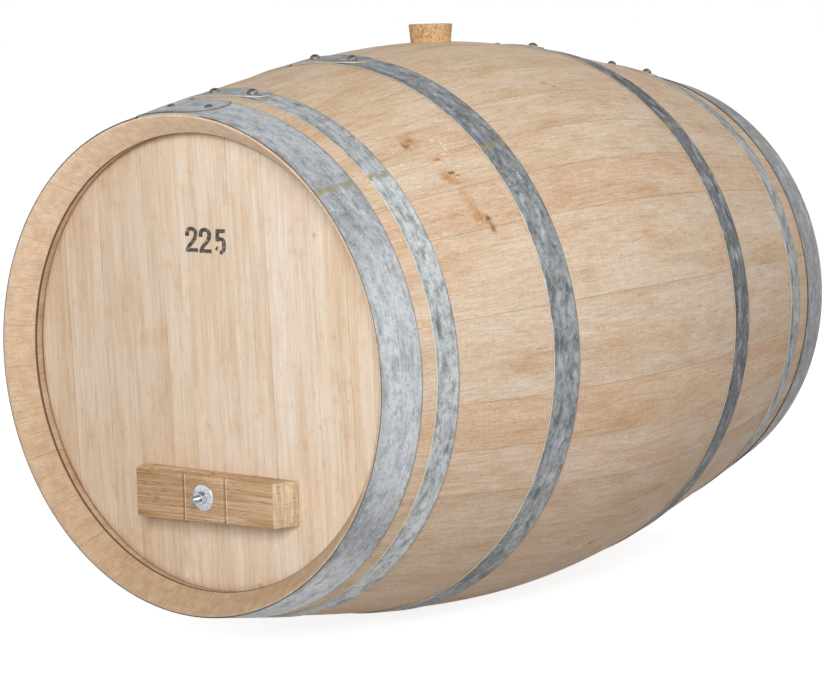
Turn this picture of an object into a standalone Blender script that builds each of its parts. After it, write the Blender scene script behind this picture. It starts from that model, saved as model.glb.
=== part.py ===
"""A 225 litre oak wine barrel that lies on its bilge with the bung on top.

Metres, +Z up. The barrel's axis runs along Y, and the head with the bar faces -Y.
The origin is on the floor, under the middle of the barrel.
"""

import math

import bmesh
import bpy
from mathutils import Matrix, Vector

MM = 0.001

# Clearance between pieces that touch
FIT = 0.0003

# Outer shape of the barrel
LENGTH = 0.950
BILGE_RADIUS = 0.3475
END_RADIUS = 0.2825
BEND = 4.19  # how tightly the staves are bent, per metre
REST_FLAT = 0.060  # length of the level stretch in the middle that the barrel rests on
LONGEST_SPAN = 0.120  # longest straight stretch of a bent stave's outer face

# Staves, with their widths at the bilge in millimetres, from the bung stave down to the bottom stave
STAVE_THICKNESS = 0.028
BUNG_STAVE_WIDTH = 0.100
BOTTOM_STAVE_WIDTH = 0.100
RIGHT_STAVES_MM = (100, 56, 58, 55, 58, 105, 105, 62, 62, 102, 103, 64, 62)
LEFT_STAVES_MM = (83, 67, 67, 79, 103, 58, 64, 67, 73, 79, 76, 76, 102)
FLAT_WIDTH = 0.034  # a stave's round face is made of flats about this wide
INNER_SPANS = 5  # straight stretches along a stave's inner face
BOTTOM_INNER_SPANS = 6  # an even number, so that one bend lies over the place that the barrel rests on

# Stave ends, with the chime and the croze groove that holds the head
LIP = 0.004
CROZE_LAND = 0.015  # plain stretch of inner face between the chime's bevel and the croze
CROZE_DEPTH = 0.0035

# Heads, with the widths of their boards in millimetres, from -X to +X
HEAD_RECESS = 0.0425
HEAD_THICKNESS = 0.022
RIM_THICKNESS = 0.0075
FACE_BEVEL_WIDTH = 0.011
FACE_BEVEL_DEPTH = 0.0025
BACK_BEVEL_WIDTH = 0.0215
FRONT_BOARDS_MM = (55, 57, 96, 104, 50, 65, 47, 58)
BACK_BOARDS_MM = (82, 70, 64, 92, 58, 88, 78)
FRONT_HEAD_TURN = math.radians(-2)
BACK_HEAD_TURN = math.radians(1)
DOWEL_DIAMETER = 0.008
DOWEL_LENGTH = 0.036
DOWEL_PLACE = 0.55  # dowels sit this share of the way from the middle of a joint to its ends

# Hoops
HOOP_THICKNESS = 0.002
CHIME_HOOP_WIDTH = 0.055
QUARTER_HOOP_WIDTH = 0.032
BILGE_HOOP_WIDTH = 0.042
CHIME_HOOP_INSET = 0.002  # from the stave's end to the hoop's outer edge
FRONT_QUARTER_INSET = 0.0775
BACK_QUARTER_INSET = 0.0915
FRONT_BILGE_INSET = 0.2545
BACK_BILGE_INSET = 0.274
LAP_REACH = 0.064  # half the length over which a hoop's two ends overlap
LAP_CLIMB = 0.014  # length in which the outer end climbs onto the inner one
TONGUE_LENGTH = 0.034
TONGUE_TIP = 0.35  # the tip's width as a share of the hoop's

# Rivets in the laps of the hoops
RIVET_PITCH = 0.056
RIVET_HEAD_DIAMETER = 0.0125
RIVET_HEAD_HEIGHT = 0.005
RIVET_SEAT = 0.0008  # depth that the head is driven into the strip
RIVET_SHANK_DIAMETER = 0.006

# Bung
BUNG_DIAMETER = 0.050  # at the outer face of the bung stave
BUNG_TAPER = 0.10  # growth in radius for each metre of height
BUNG_STAND = 0.0215
BUNG_DEPTH = 0.019
BUNG_CHAMFER = 0.0015

# Bar on the front head
BAR_LENGTH = 0.231
BAR_HEIGHT = 0.050
BAR_THICKNESS = 0.030
BAR_RISE = 0.1187  # from the lowest point of the head's rim up to the bar's middle
BAR_SIDE = 0.0145  # the bar's middle lies this far to +X
BAR_END_RUN = 0.014
BAR_END_LAND = 0.004
SAW_MARK_SPACING = 0.062
SAW_MARK_WIDTH = 0.006
SAW_MARK_DEPTH = 0.004

# Bolt, seal, washer and nut that hold the bar
BOLT_DIAMETER = 0.008
BOLT_STAND = 0.019  # beyond the bar's face
BOLT_CHAMFER = 0.001
BOLT_HEAD_DIAMETER = 0.020
BOLT_HEAD_HEIGHT = 0.005
SEAL_DIAMETER = 0.024
SEAL_THICKNESS = 0.003
WASHER_DIAMETER = 0.030
WASHER_THICKNESS = 0.002
NUT_ACROSS_FLATS = 0.013
NUT_THICKNESS = 0.0065

ROUND_SIDES = 24
SMALL_ROUND_SIDES = 16
RIVET_SIDES = 10
DOWEL_SIDES = 8


# Staves all round, as the flats that their round faces are made of


class Stave:
    """A stave's name, the angle of its middle from the top towards +X, its width as an angle, its flats."""

    def __init__(self, name, angle, width_mm, width):
        self.name = name
        self.angle = angle
        self.width = width
        self.flats = max(2, round(width_mm * MM / FLAT_WIDTH))


def place_staves():
    """Staves all round, with each side's widths fitted between the bung stave and the bottom stave."""
    bung_width = BUNG_STAVE_WIDTH / BILGE_RADIUS
    bottom_width = BOTTOM_STAVE_WIDTH / BILGE_RADIUS
    room = math.pi - (bung_width + bottom_width) / 2
    staves = [Stave("bung_stave", 0.0, BUNG_STAVE_WIDTH / MM, bung_width)]
    for side, label, widths in ((1, "right", RIGHT_STAVES_MM), (-1, "left", LEFT_STAVES_MM)):
        edge = bung_width / 2
        for number, width_mm in enumerate(widths, start=1):
            width = room * width_mm / sum(widths)
            name = f"stave_{label}_{number:02d}"
            staves.append(Stave(name, side * (edge + width / 2), width_mm, width))
            edge += width
    staves.append(Stave("bottom_stave", math.pi, BOTTOM_STAVE_WIDTH / MM, bottom_width))
    return staves


STAVES = place_staves()
BOTTOM_STAVE = STAVES[-1]

# The barrel lies on the lowest flat of the bottom stave, or on its lowest ridge where the flats are even
LOWEST_TURN = BOTTOM_STAVE.width / BOTTOM_STAVE.flats / 2 * (BOTTOM_STAVE.flats % 2)
AXIS_HEIGHT = BILGE_RADIUS * math.cos(LOWEST_TURN)


def ridge_angles():
    """Angles of the ridges between the flats, all round from the top, rising."""
    ridges = []
    for stave in STAVES:
        for flat in range(stave.flats):
            ridge = stave.angle - stave.width / 2 + stave.width * flat / stave.flats
            ridges.append(ridge % math.tau)
    return sorted(ridges)


RIDGES = ridge_angles()


def flat_share(angle):
    """How far out the flat lies at an angle, as a share of the radius at its ridges."""
    turned = angle % math.tau
    below = [ridge for ridge in RIDGES if ridge <= turned + 1e-9]
    above = [ridge for ridge in RIDGES if ridge > turned + 1e-9]
    start = below[-1] if below else RIDGES[-1] - math.tau
    end = above[0] if above else RIDGES[0] + math.tau
    return math.cos((end - start) / 2) / math.cos(turned - (start + end) / 2)


# Scene and collections

for old in list(bpy.data.objects):
    bpy.data.objects.remove(old, do_unlink=True)

barrel_parts = bpy.data.collections.new("wine_barrel")
cutters = bpy.data.collections.new("cutters")
bpy.context.scene.collection.children.link(barrel_parts)
bpy.context.scene.collection.children.link(cutters)

axis = bpy.data.objects.new("barrel_axis", None)
axis.location = (0, 0, AXIS_HEIGHT)
barrel_parts.objects.link(axis)


def finish(name, colour, roughness, metallic):
    """A plain finish in linear colour."""
    material = bpy.data.materials.new(name)
    material.use_nodes = True
    shader = material.node_tree.nodes["Principled BSDF"]
    shader.inputs["Base Color"].default_value = (*colour, 1.0)
    shader.inputs["Roughness"].default_value = roughness
    shader.inputs["Metallic"].default_value = metallic
    material.diffuse_color = (*colour, 1.0)
    return material


STAVE_OAK = finish("stave_oak", (0.52, 0.36, 0.22), 0.65, 0.0)
HEAD_OAK = finish("head_oak", (0.66, 0.49, 0.33), 0.65, 0.0)
BAR_OAK = finish("bar_oak", (0.42, 0.27, 0.14), 0.65, 0.0)
HOOP_STEEL = finish("hoop_steel", (0.30, 0.32, 0.34), 0.45, 1.0)
ZINC_STEEL = finish("zinc_steel", (0.60, 0.62, 0.65), 0.3, 1.0)
CORK = finish("cork", (0.55, 0.30, 0.14), 0.85, 0.0)
SEAL_RUBBER = finish("seal_rubber", (0.05, 0.05, 0.05), 0.8, 0.0)


def add_piece(name, mesh, material, place=(0, 0, 0), turn=(0, 0, 0)):
    """Put a mesh in the barrel as a named piece, placed from the middle of the barrel's axis."""
    piece = bpy.data.objects.new(name, mesh)
    piece.location = place
    piece.rotation_euler = turn
    piece.parent = axis
    barrel_parts.objects.link(piece)
    mesh.materials.append(material)
    return piece


def add_cutter(name, mesh):
    """Keep a mesh as a tool for Booleans, placed from the middle of the barrel's axis."""
    cutter = bpy.data.objects.new(name, mesh)
    cutter.parent = axis
    cutter.hide_render = True
    cutter.display_type = "WIRE"
    cutters.objects.link(cutter)
    return cutter


def combine(piece, tool, operation):
    """Cut the tool's shape out of a piece, or join it on."""
    change = piece.modifiers.new(tool.name, "BOOLEAN")
    change.operation = operation
    change.object = tool


def mesh_from(name, bm):
    """Close a bmesh into a mesh with its faces pointing out."""
    bmesh.ops.recalc_face_normals(bm, faces=bm.faces[:])
    mesh = bpy.data.meshes.new(name)
    bm.to_mesh(mesh)
    bm.free()
    return mesh


def shade_round(mesh):
    """Shade a round piece smooth and keep its hard edges."""
    mesh.shade_smooth()
    mesh.set_sharp_from_angle(angle=math.radians(35))


def loft(name, sections):
    """A solid through unlike sections, which all have the same number of points."""
    bm = bmesh.new()
    rings = [[bm.verts.new(point) for point in section] for section in sections]
    for near, far in zip(rings, rings[1:]):
        for index, start in enumerate(near):
            after = (index + 1) % len(near)
            bm.faces.new((start, near[after], far[after], far[index]))
    bm.faces.new(rings[0])
    bm.faces.new(rings[-1])
    return mesh_from(name, bm)


def turned(name, profile, sides, ring=False):
    """A mesh turned round Z from a profile of (radius, height), which runs down its outer side."""
    line = bpy.data.meshes.new(name)
    edges = [(index, index + 1) for index in range(len(profile) - 1)]
    if ring:
        edges.append((len(profile) - 1, 0))
    line.from_pydata([(radius, 0, height) for radius, height in profile], edges, [])
    guide = bpy.data.objects.new(name, line)
    cutters.objects.link(guide)
    screw = guide.modifiers.new("turned", "SCREW")
    screw.steps = sides
    screw.render_steps = sides
    screw.use_merge_vertices = True
    screw.merge_threshold = 0.00001
    graph = bpy.context.evaluated_depsgraph_get()
    mesh = bpy.data.meshes.new_from_object(guide.evaluated_get(graph))
    mesh.name = name
    bpy.data.objects.remove(guide)
    bpy.data.meshes.remove(line)
    shade_round(mesh)
    return mesh


def bore_radius(radius, sides):
    """Radius at the corners of a bore with flat sides that clears a round of this radius."""
    return (radius + FIT) / math.cos(math.pi / sides)


def add_cylinder(bm, radius, length, sides, matrix):
    """Add a plain cylinder, centred on the matrix's origin along its Z."""
    bmesh.ops.create_cone(
        bm, cap_ends=True, segments=sides, radius1=radius, radius2=radius, depth=length, matrix=matrix
    )


def around(angle, radius, y):
    """A point at an angle from the top towards +X, at a radius from the barrel's axis."""
    return Vector((radius * math.sin(angle), y, radius * math.cos(angle)))


# Curve of the barrel

BEND_AT_END = math.hypot(1, BEND * LENGTH / 2) - 1
RADIUS_DROP = BILGE_RADIUS - END_RADIUS


def outer_radius(y):
    """Radius of the barrel's outer face, at a distance y from its middle."""
    if abs(y) <= REST_FLAT / 2:
        return BILGE_RADIUS
    return BILGE_RADIUS - RADIUS_DROP * (math.hypot(1, BEND * y) - 1) / BEND_AT_END


def inner_radius(y):
    """Radius of the inner face, one stave's thickness square to the bend from the outer one."""
    slope = RADIUS_DROP / BEND_AT_END * BEND**2 * y / math.hypot(1, BEND * y)
    return outer_radius(y) - STAVE_THICKNESS * math.hypot(1, slope)


class Hoop:
    """Where a hoop sits: its edges along Y and how far its lap lies from the top, towards +X."""

    def __init__(self, name, side, inset, width, lap_offset):
        self.name = name
        self.side = side
        self.edges = sorted((side * (LENGTH / 2 - inset), side * (LENGTH / 2 - inset - width)))
        self.middle = sum(self.edges) / 2
        self.lap_offset = lap_offset


HOOPS = (
    Hoop("front_chime_hoop", -1, CHIME_HOOP_INSET, CHIME_HOOP_WIDTH, 0.0),
    Hoop("front_quarter_hoop", -1, FRONT_QUARTER_INSET, QUARTER_HOOP_WIDTH, 0.008),
    Hoop("front_bilge_hoop", -1, FRONT_BILGE_INSET, BILGE_HOOP_WIDTH, 0.0065),
    Hoop("back_bilge_hoop", 1, BACK_BILGE_INSET, BILGE_HOOP_WIDTH, 0.0),
    Hoop("back_quarter_hoop", 1, BACK_QUARTER_INSET, QUARTER_HOOP_WIDTH, 0.0535),
    Hoop("back_chime_hoop", 1, CHIME_HOOP_INSET, CHIME_HOOP_WIDTH, 0.030),
)


def stave_stations():
    """Places along Y where the outer face bends: its ends, the hoops' inner edges and even steps between."""
    marks = {-LENGTH / 2, LENGTH / 2, -REST_FLAT / 2, REST_FLAT / 2}
    for hoop in HOOPS:
        marks.update(edge for edge in hoop.edges if abs(edge) < LENGTH / 2 - CHIME_HOOP_INSET - MM)
    marks = sorted(marks)
    stations = []
    for start, end in zip(marks, marks[1:]):
        steps = math.ceil((end - start) / LONGEST_SPAN)
        stations.extend(start + (end - start) * step / steps for step in range(steps))
    return stations + [marks[-1]]


STATIONS = stave_stations()


def face_radius(y):
    """Radius of the outer face where it runs straight between two stations."""
    for start, end in zip(STATIONS, STATIONS[1:]):
        if y <= end:
            share = (y - start) / (end - start)
            return outer_radius(start) * (1 - share) + outer_radius(end) * share
    return outer_radius(LENGTH / 2)


# Head and croze places, measured from the middle of the barrel

HEAD_FACE = LENGTH / 2 - HEAD_RECESS
HEAD_BACK = HEAD_FACE - HEAD_THICKNESS
RIM_OUTSIDE = HEAD_FACE - FACE_BEVEL_DEPTH
RIM_INSIDE = RIM_OUTSIDE - RIM_THICKNESS
CROZE_RADIUS = inner_radius((RIM_OUTSIDE + RIM_INSIDE) / 2) + CROZE_DEPTH
RIM_RADIUS = CROZE_RADIUS - FIT


def croze_mouth(bottom, slope):
    """Where the groove's wall, parallel to the bevel of the rim, meets the inner face."""
    y = bottom
    for _ in range(6):
        y = bottom + slope * (CROZE_RADIUS - inner_radius(y))
    return y


CROZE_OUTSIDE = RIM_OUTSIDE + FIT
CROZE_INSIDE = RIM_INSIDE - FIT
MOUTH_OUTSIDE = croze_mouth(CROZE_OUTSIDE, FACE_BEVEL_DEPTH / FACE_BEVEL_WIDTH)
MOUTH_INSIDE = croze_mouth(CROZE_INSIDE, (HEAD_BACK - RIM_INSIDE) / BACK_BEVEL_WIDTH)
CHIME_END = MOUTH_OUTSIDE + CROZE_LAND


# Staves, each spun from one outline through its own width


def stave_outline(inner_spans):
    """The stave's section through the barrel's axis, as (y, radius)."""
    outline = [(y, outer_radius(y)) for y in STATIONS]
    end = [
        (LENGTH / 2, END_RADIUS - LIP),
        (CHIME_END, inner_radius(CHIME_END)),
        (MOUTH_OUTSIDE, inner_radius(MOUTH_OUTSIDE)),
        (CROZE_OUTSIDE, CROZE_RADIUS),
        (CROZE_INSIDE, CROZE_RADIUS),
        (MOUTH_INSIDE, inner_radius(MOUTH_INSIDE)),
    ]
    outline.extend(end)
    for span in range(1, inner_spans):
        y = MOUTH_INSIDE * (1 - 2 * span / inner_spans)
        outline.append((y, inner_radius(y)))
    outline.extend((-y, radius) for y, radius in reversed(end))
    return outline


def stave_mesh(stave):
    """Spin the outline through the stave's width, then draw in each joint face by half a seam."""
    bm = bmesh.new()
    inner_spans = BOTTOM_INNER_SPANS if stave is BOTTOM_STAVE else INNER_SPANS
    first = [bm.verts.new((0, y, radius)) for y, radius in stave_outline(inner_spans)]
    section = bm.faces.new(first)
    bmesh.ops.rotate(bm, verts=first, cent=(0, 0, 0), matrix=Matrix.Rotation(-stave.width / 2, 3, "Y"))
    spun = bmesh.ops.spin(
        bm, geom=[section], cent=(0, 0, 0), axis=(0, 1, 0), angle=stave.width, steps=stave.flats
    )
    last = [item for item in spun["geom_last"] if isinstance(item, bmesh.types.BMVert)]
    for verts, side in ((first, -1), (last, 1)):
        outward = Vector((side * math.cos(stave.width / 2), 0, -math.sin(stave.width / 2)))
        bmesh.ops.translate(bm, verts=verts, vec=-outward * FIT / 2)
    return mesh_from(stave.name, bm)


stave_pieces = {}
for stave in STAVES:
    mesh = stave_mesh(stave)
    shade_round(mesh)
    stave_pieces[stave.name] = add_piece(stave.name, mesh, STAVE_OAK, turn=(0, stave.angle, 0))


# Heads, each sawn from one disc whose rim follows the flats of the croze


def head_disc(side):
    """The whole head as outlines from its outer face to its inner face."""
    levels = (
        (HEAD_FACE, RIM_RADIUS - FACE_BEVEL_WIDTH),
        (RIM_OUTSIDE, RIM_RADIUS),
        (RIM_INSIDE, RIM_RADIUS),
        (HEAD_BACK, RIM_RADIUS - BACK_BEVEL_WIDTH),
    )
    return loft("head_disc", [[around(ridge, radius, side * y) for ridge in RIDGES] for y, radius in levels])


def board_joints(widths):
    """Places of the joints between boards across the head, from -X to +X."""
    joints = []
    place = -RIM_RADIUS
    for width in widths[:-1]:
        place += 2 * RIM_RADIUS * width / sum(widths)
        joints.append(place)
    return joints


def board_mesh(name, disc, low, high, turn):
    """Saw one board out of the disc, between two joints or between a joint and the rim."""
    bm = bmesh.new()
    bm.from_mesh(disc)
    across = Vector((math.cos(turn), 0, -math.sin(turn)))
    for place, side in ((low, -1), (high, 1)):
        if place is None:
            continue
        saw = bmesh.ops.bisect_plane(
            bm,
            geom=bm.verts[:] + bm.edges[:] + bm.faces[:],
            plane_co=across * (place - side * FIT / 2),
            plane_no=across * side,
            clear_outer=True,
        )
        sawn = [item for item in saw["geom_cut"] if isinstance(item, bmesh.types.BMEdge)]
        bmesh.ops.contextual_create(bm, geom=sawn)
    return mesh_from(name, bm)


def joint_dowels(name, side, joint, turn, radius, length):
    """Two dowels square to a joint, in the middle of the head's thickness."""
    bm = bmesh.new()
    reach = DOWEL_PLACE * math.sqrt(RIM_RADIUS**2 - joint**2)
    for up in (-reach, reach):
        spot = Matrix.Translation((joint, side * (HEAD_FACE + HEAD_BACK) / 2, up))
        crosswise = Matrix.Rotation(math.pi / 2, 4, "Y")
        add_cylinder(bm, radius, length, DOWEL_SIDES, Matrix.Rotation(turn, 4, "Y") @ spot @ crosswise)
    return add_cutter(name, mesh_from(name, bm))


front_boards = []
for label, side, widths, turn in (
    ("front", -1, FRONT_BOARDS_MM, FRONT_HEAD_TURN),
    ("back", 1, BACK_BOARDS_MM, BACK_HEAD_TURN),
):
    disc = head_disc(side)
    joints = board_joints(widths)
    limits = [None, *joints, None]
    boards = []
    for number, (low, high) in enumerate(zip(limits, limits[1:]), start=1):
        name = f"{label}_board_{number}"
        boards.append(add_piece(name, board_mesh(name, disc, low, high, turn), HEAD_OAK))
    bpy.data.meshes.remove(disc)
    # Each board holds the dowels of its joint towards +X, and its neighbour has the bores for them
    for number, joint in enumerate(joints, start=1):
        name = f"{label}_dowels_{number}"
        dowels = joint_dowels(name, side, joint, turn, DOWEL_DIAMETER / 2, DOWEL_LENGTH)
        wide = bore_radius(DOWEL_DIAMETER / 2, DOWEL_SIDES)
        bores = joint_dowels(name + "_bores", side, joint, turn, wide, DOWEL_LENGTH + 2 * FIT)
        combine(boards[number - 1], dowels, "UNION")
        combine(boards[number], bores, "DIFFERENCE")
    if label == "front":
        front_boards = boards


# Hoops, each a strip bent round the staves until its ends overlap, where two rivets hold them


def lap_angle(hoop, along):
    """The angle of a place on the hoop, given as a length along it from the middle of its lap."""
    return (hoop.lap_offset + along) / face_radius(hoop.middle)


def hoop_section(hoop, angle, lift, share):
    """The strip's four corners at an angle, lifted off the staves. A narrow stretch keeps the inner edge."""
    low, high = hoop.edges
    if hoop.side < 0:
        low = high - (high - low) * share
    else:
        high = low + (high - low) * share
    corners = []
    for y, layer in ((low, 0), (high, 0), (high, HOOP_THICKNESS), (low, HOOP_THICKNESS)):
        corners.append(around(angle, face_radius(y) * flat_share(angle) + FIT + lift + layer, y))
    return corners


def hoop_mesh(hoop):
    """From the covered end, once round, up onto it and out to the narrow tongue."""
    start = lap_angle(hoop, -LAP_REACH)
    climb = lap_angle(hoop, -LAP_REACH - LAP_CLIMB) + math.tau
    over = start + math.tau
    narrowing = lap_angle(hoop, LAP_REACH - TONGUE_LENGTH) + math.tau
    tip = lap_angle(hoop, LAP_REACH) + math.tau
    bends = [start, climb, over, narrowing, (narrowing + tip) / 2, (narrowing + 3 * tip) / 4, tip]
    # A ridge within a millimetre of one of the strip's own bends needs no section
    near = MM / face_radius(hoop.middle)
    for turns in (-1, 0, 1):
        for ridge in RIDGES:
            place = ridge + turns * math.tau
            if start < place < tip and all(abs(place - bend) > near for bend in bends):
                bends.append(place)
    sections = []
    for angle in sorted(bends):
        climbed = min(1, max(0, (angle - climb) / (over - climb)))
        share = 1
        if angle > narrowing:
            along = (angle - narrowing) / (tip - narrowing)
            share = TONGUE_TIP + (1 - TONGUE_TIP) * math.sqrt(1 - min(1, along) ** 2)
        sections.append(hoop_section(hoop, angle, climbed * (HOOP_THICKNESS + FIT), share))
    return loft(hoop.name, sections)


def rivet_seats(hoop):
    """A matrix for each rivet: its origin on the lap's outer face, its Z square to that face."""
    seats = []
    low, high = hoop.edges
    lift = 2 * (FIT + HOOP_THICKNESS)
    for along in (-RIVET_PITCH / 2, RIVET_PITCH / 2):
        angle = lap_angle(hoop, along)
        near = around(angle, face_radius(low) * flat_share(angle) + lift, low)
        far = around(angle, face_radius(high) * flat_share(angle) + lift, high)
        outward = (far - near).cross(around(angle + math.pi / 2, 1, 0)).normalized()
        if outward.dot(around(angle, 1, 0)) < 0:
            outward.negate()
        turn = outward.to_track_quat("Z", "Y").to_matrix().to_4x4()
        seats.append(Matrix.Translation((near + far) / 2) @ turn)
    return seats


def rivet_profile():
    """A rivet's outer side from the top of its head down to its shank, which ends inside the inner layer."""
    head_radius = RIVET_HEAD_DIAMETER / 2
    shank_radius = RIVET_SHANK_DIAMETER / 2
    shank_end = -1.5 * HOOP_THICKNESS - FIT
    profile = []
    for degrees in (90, 60, 30, 0):
        rise = math.radians(degrees)
        profile.append((head_radius * math.cos(rise) if degrees < 90 else 0, RIVET_HEAD_HEIGHT * math.sin(rise)))
    profile.append((head_radius, -RIVET_SEAT))
    profile.append((shank_radius, -RIVET_SEAT))
    profile.append((shank_radius, shank_end))
    profile.append((0, shank_end))
    return profile


rivet = turned("rivet", rivet_profile(), RIVET_SIDES)
for hoop in HOOPS:
    strip = hoop_mesh(hoop)
    shade_round(strip)
    rivets = bmesh.new()
    for seat in rivet_seats(hoop):
        before = len(rivets.verts)
        rivets.from_mesh(rivet)
        rivets.verts.ensure_lookup_table()
        bmesh.ops.transform(rivets, matrix=seat, verts=rivets.verts[before:])
    rivet_tool = add_cutter(hoop.name + "_rivets", mesh_from(hoop.name + "_rivets", rivets))
    combine(add_piece(hoop.name, strip, HOOP_STEEL), rivet_tool, "UNION")
bpy.data.meshes.remove(rivet)


# Bung and its tapered hole


def bung_radius(height):
    """The bung's radius at a height above the bung stave's outer face."""
    return BUNG_DIAMETER / 2 + BUNG_TAPER * height


bung_profile = (
    (0, BUNG_STAND),
    (bung_radius(BUNG_STAND) - BUNG_CHAMFER, BUNG_STAND),
    (bung_radius(BUNG_STAND), BUNG_STAND - BUNG_CHAMFER),
    (bung_radius(-BUNG_DEPTH), -BUNG_DEPTH),
    (0, -BUNG_DEPTH),
)
add_piece("bung", turned("bung", bung_profile, ROUND_SIDES), CORK, (0, 0, BILGE_RADIUS))

# The hole's cutter runs from the top of the bung to well inside the barrel
hole_bottom = -STAVE_THICKNESS - BUNG_STAND
hole_tool = bmesh.new()
bmesh.ops.create_cone(
    hole_tool,
    cap_ends=True,
    segments=ROUND_SIDES,
    radius1=bore_radius(bung_radius(hole_bottom), ROUND_SIDES),
    radius2=bore_radius(bung_radius(BUNG_STAND), ROUND_SIDES),
    depth=BUNG_STAND - hole_bottom,
    matrix=Matrix.Translation((0, 0, BILGE_RADIUS + (BUNG_STAND + hole_bottom) / 2)),
)
combine(stave_pieces["bung_stave"], add_cutter("bung_hole", mesh_from("bung_hole", hole_tool)), "DIFFERENCE")


# Bar across the front head, sawn from one outline seen from above

BAR_BACK = -HEAD_FACE - FIT
BAR_FACE = BAR_BACK - BAR_THICKNESS
BAR_DROP = RIM_RADIUS - BAR_RISE  # from the barrel's axis
half_bar = BAR_LENGTH / 2
mark_place = SAW_MARK_SPACING / 2
right_half = [
    (mark_place - SAW_MARK_WIDTH / 2, BAR_FACE),
    (mark_place, BAR_FACE + SAW_MARK_DEPTH),
    (mark_place + SAW_MARK_WIDTH / 2, BAR_FACE),
    (half_bar - BAR_END_RUN, BAR_FACE),
    (half_bar, BAR_BACK - BAR_END_LAND),
    (half_bar, BAR_BACK),
]
left_half = [(-x, y) for x, y in reversed(right_half)]
bar_bm = bmesh.new()
underside = [bar_bm.verts.new((x, y, -BAR_HEIGHT / 2)) for x, y in left_half + right_half]
bar_sweep = bmesh.ops.extrude_face_region(bar_bm, geom=[bar_bm.faces.new(underside)])
raised = [item for item in bar_sweep["geom"] if isinstance(item, bmesh.types.BMVert)]
bmesh.ops.translate(bar_bm, verts=raised, vec=(0, 0, BAR_HEIGHT))
head_bar = add_piece("head_bar", mesh_from("head_bar", bar_bm), BAR_OAK, (BAR_SIDE, 0, -BAR_DROP))


# Bolt, seal, washer and nut, all on the bolt's line, from the inside of the barrel out

TO_FRONT = (math.pi / 2, 0, 0)  # turns a piece's Z to -Y
SEAL_BACK = -HEAD_BACK + FIT + SEAL_THICKNESS
BOLT_SEAT = SEAL_BACK + FIT
WASHER_BACK = BAR_FACE - FIT
NUT_BACK = WASHER_BACK - WASHER_THICKNESS - FIT
bolt_radius = BOLT_DIAMETER / 2
bolt_length = BOLT_SEAT - BAR_FACE + BOLT_STAND
hole_radius = bore_radius(bolt_radius, SMALL_ROUND_SIDES)


def on_bolt(y):
    return Vector((BAR_SIDE, y, -BAR_DROP))


def ring_profile(outer, thickness):
    """A flat ring with a hole for the bolt and a small chamfer at its outer edge."""
    edge = thickness / 4
    return (
        (outer - edge, thickness),
        (outer, thickness - edge),
        (outer, 0),
        (hole_radius, 0),
        (hole_radius, thickness),
    )


bolt_profile = (
    (0, bolt_length),
    (bolt_radius - BOLT_CHAMFER, bolt_length),
    (bolt_radius, bolt_length - BOLT_CHAMFER),
    (bolt_radius, 0),
    (BOLT_HEAD_DIAMETER / 2, 0),
    (BOLT_HEAD_DIAMETER / 2, -BOLT_HEAD_HEIGHT / 4),
    (BOLT_HEAD_DIAMETER / 3, -BOLT_HEAD_HEIGHT * 3 / 4),
    (BOLT_HEAD_DIAMETER / 8, -BOLT_HEAD_HEIGHT),
    (0, -BOLT_HEAD_HEIGHT),
)
bolt_mesh = turned("bar_bolt", bolt_profile, SMALL_ROUND_SIDES)
add_piece("bar_bolt", bolt_mesh, ZINC_STEEL, on_bolt(BOLT_SEAT), TO_FRONT)

seal_mesh = turned("bolt_seal", ring_profile(SEAL_DIAMETER / 2, SEAL_THICKNESS), SMALL_ROUND_SIDES, ring=True)
add_piece("bolt_seal", seal_mesh, SEAL_RUBBER, on_bolt(SEAL_BACK), TO_FRONT)

washer_mesh = turned("bar_washer", ring_profile(WASHER_DIAMETER / 2, WASHER_THICKNESS), ROUND_SIDES, ring=True)
add_piece("bar_washer", washer_mesh, ZINC_STEEL, on_bolt(WASHER_BACK), TO_FRONT)

nut_bm = bmesh.new()
nut_corner = NUT_ACROSS_FLATS / 2 / math.cos(math.pi / 6)
add_cylinder(nut_bm, nut_corner, NUT_THICKNESS, 6, Matrix.Translation((0, 0, NUT_THICKNESS / 2)))
bar_nut = add_piece("bar_nut", mesh_from("bar_nut", nut_bm), ZINC_STEEL, on_bolt(NUT_BACK), TO_FRONT)

way_length = 2 * (BOLT_STAND + BAR_THICKNESS + HEAD_THICKNESS + SEAL_THICKNESS)
way = bmesh.new()
add_cylinder(
    way,
    hole_radius,
    way_length,
    SMALL_ROUND_SIDES,
    Matrix.Translation(on_bolt(BAR_BACK)) @ Matrix.Rotation(math.pi / 2, 4, "X"),
)
bolt_way = add_cutter("bolt_way", mesh_from("bolt_way", way))
for piece in (*front_boards, head_bar, bar_nut):
    combine(piece, bolt_way, "DIFFERENCE")
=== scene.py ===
import math
import random

import bmesh
import bpy
from mathutils import Matrix, Vector, noise


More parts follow.
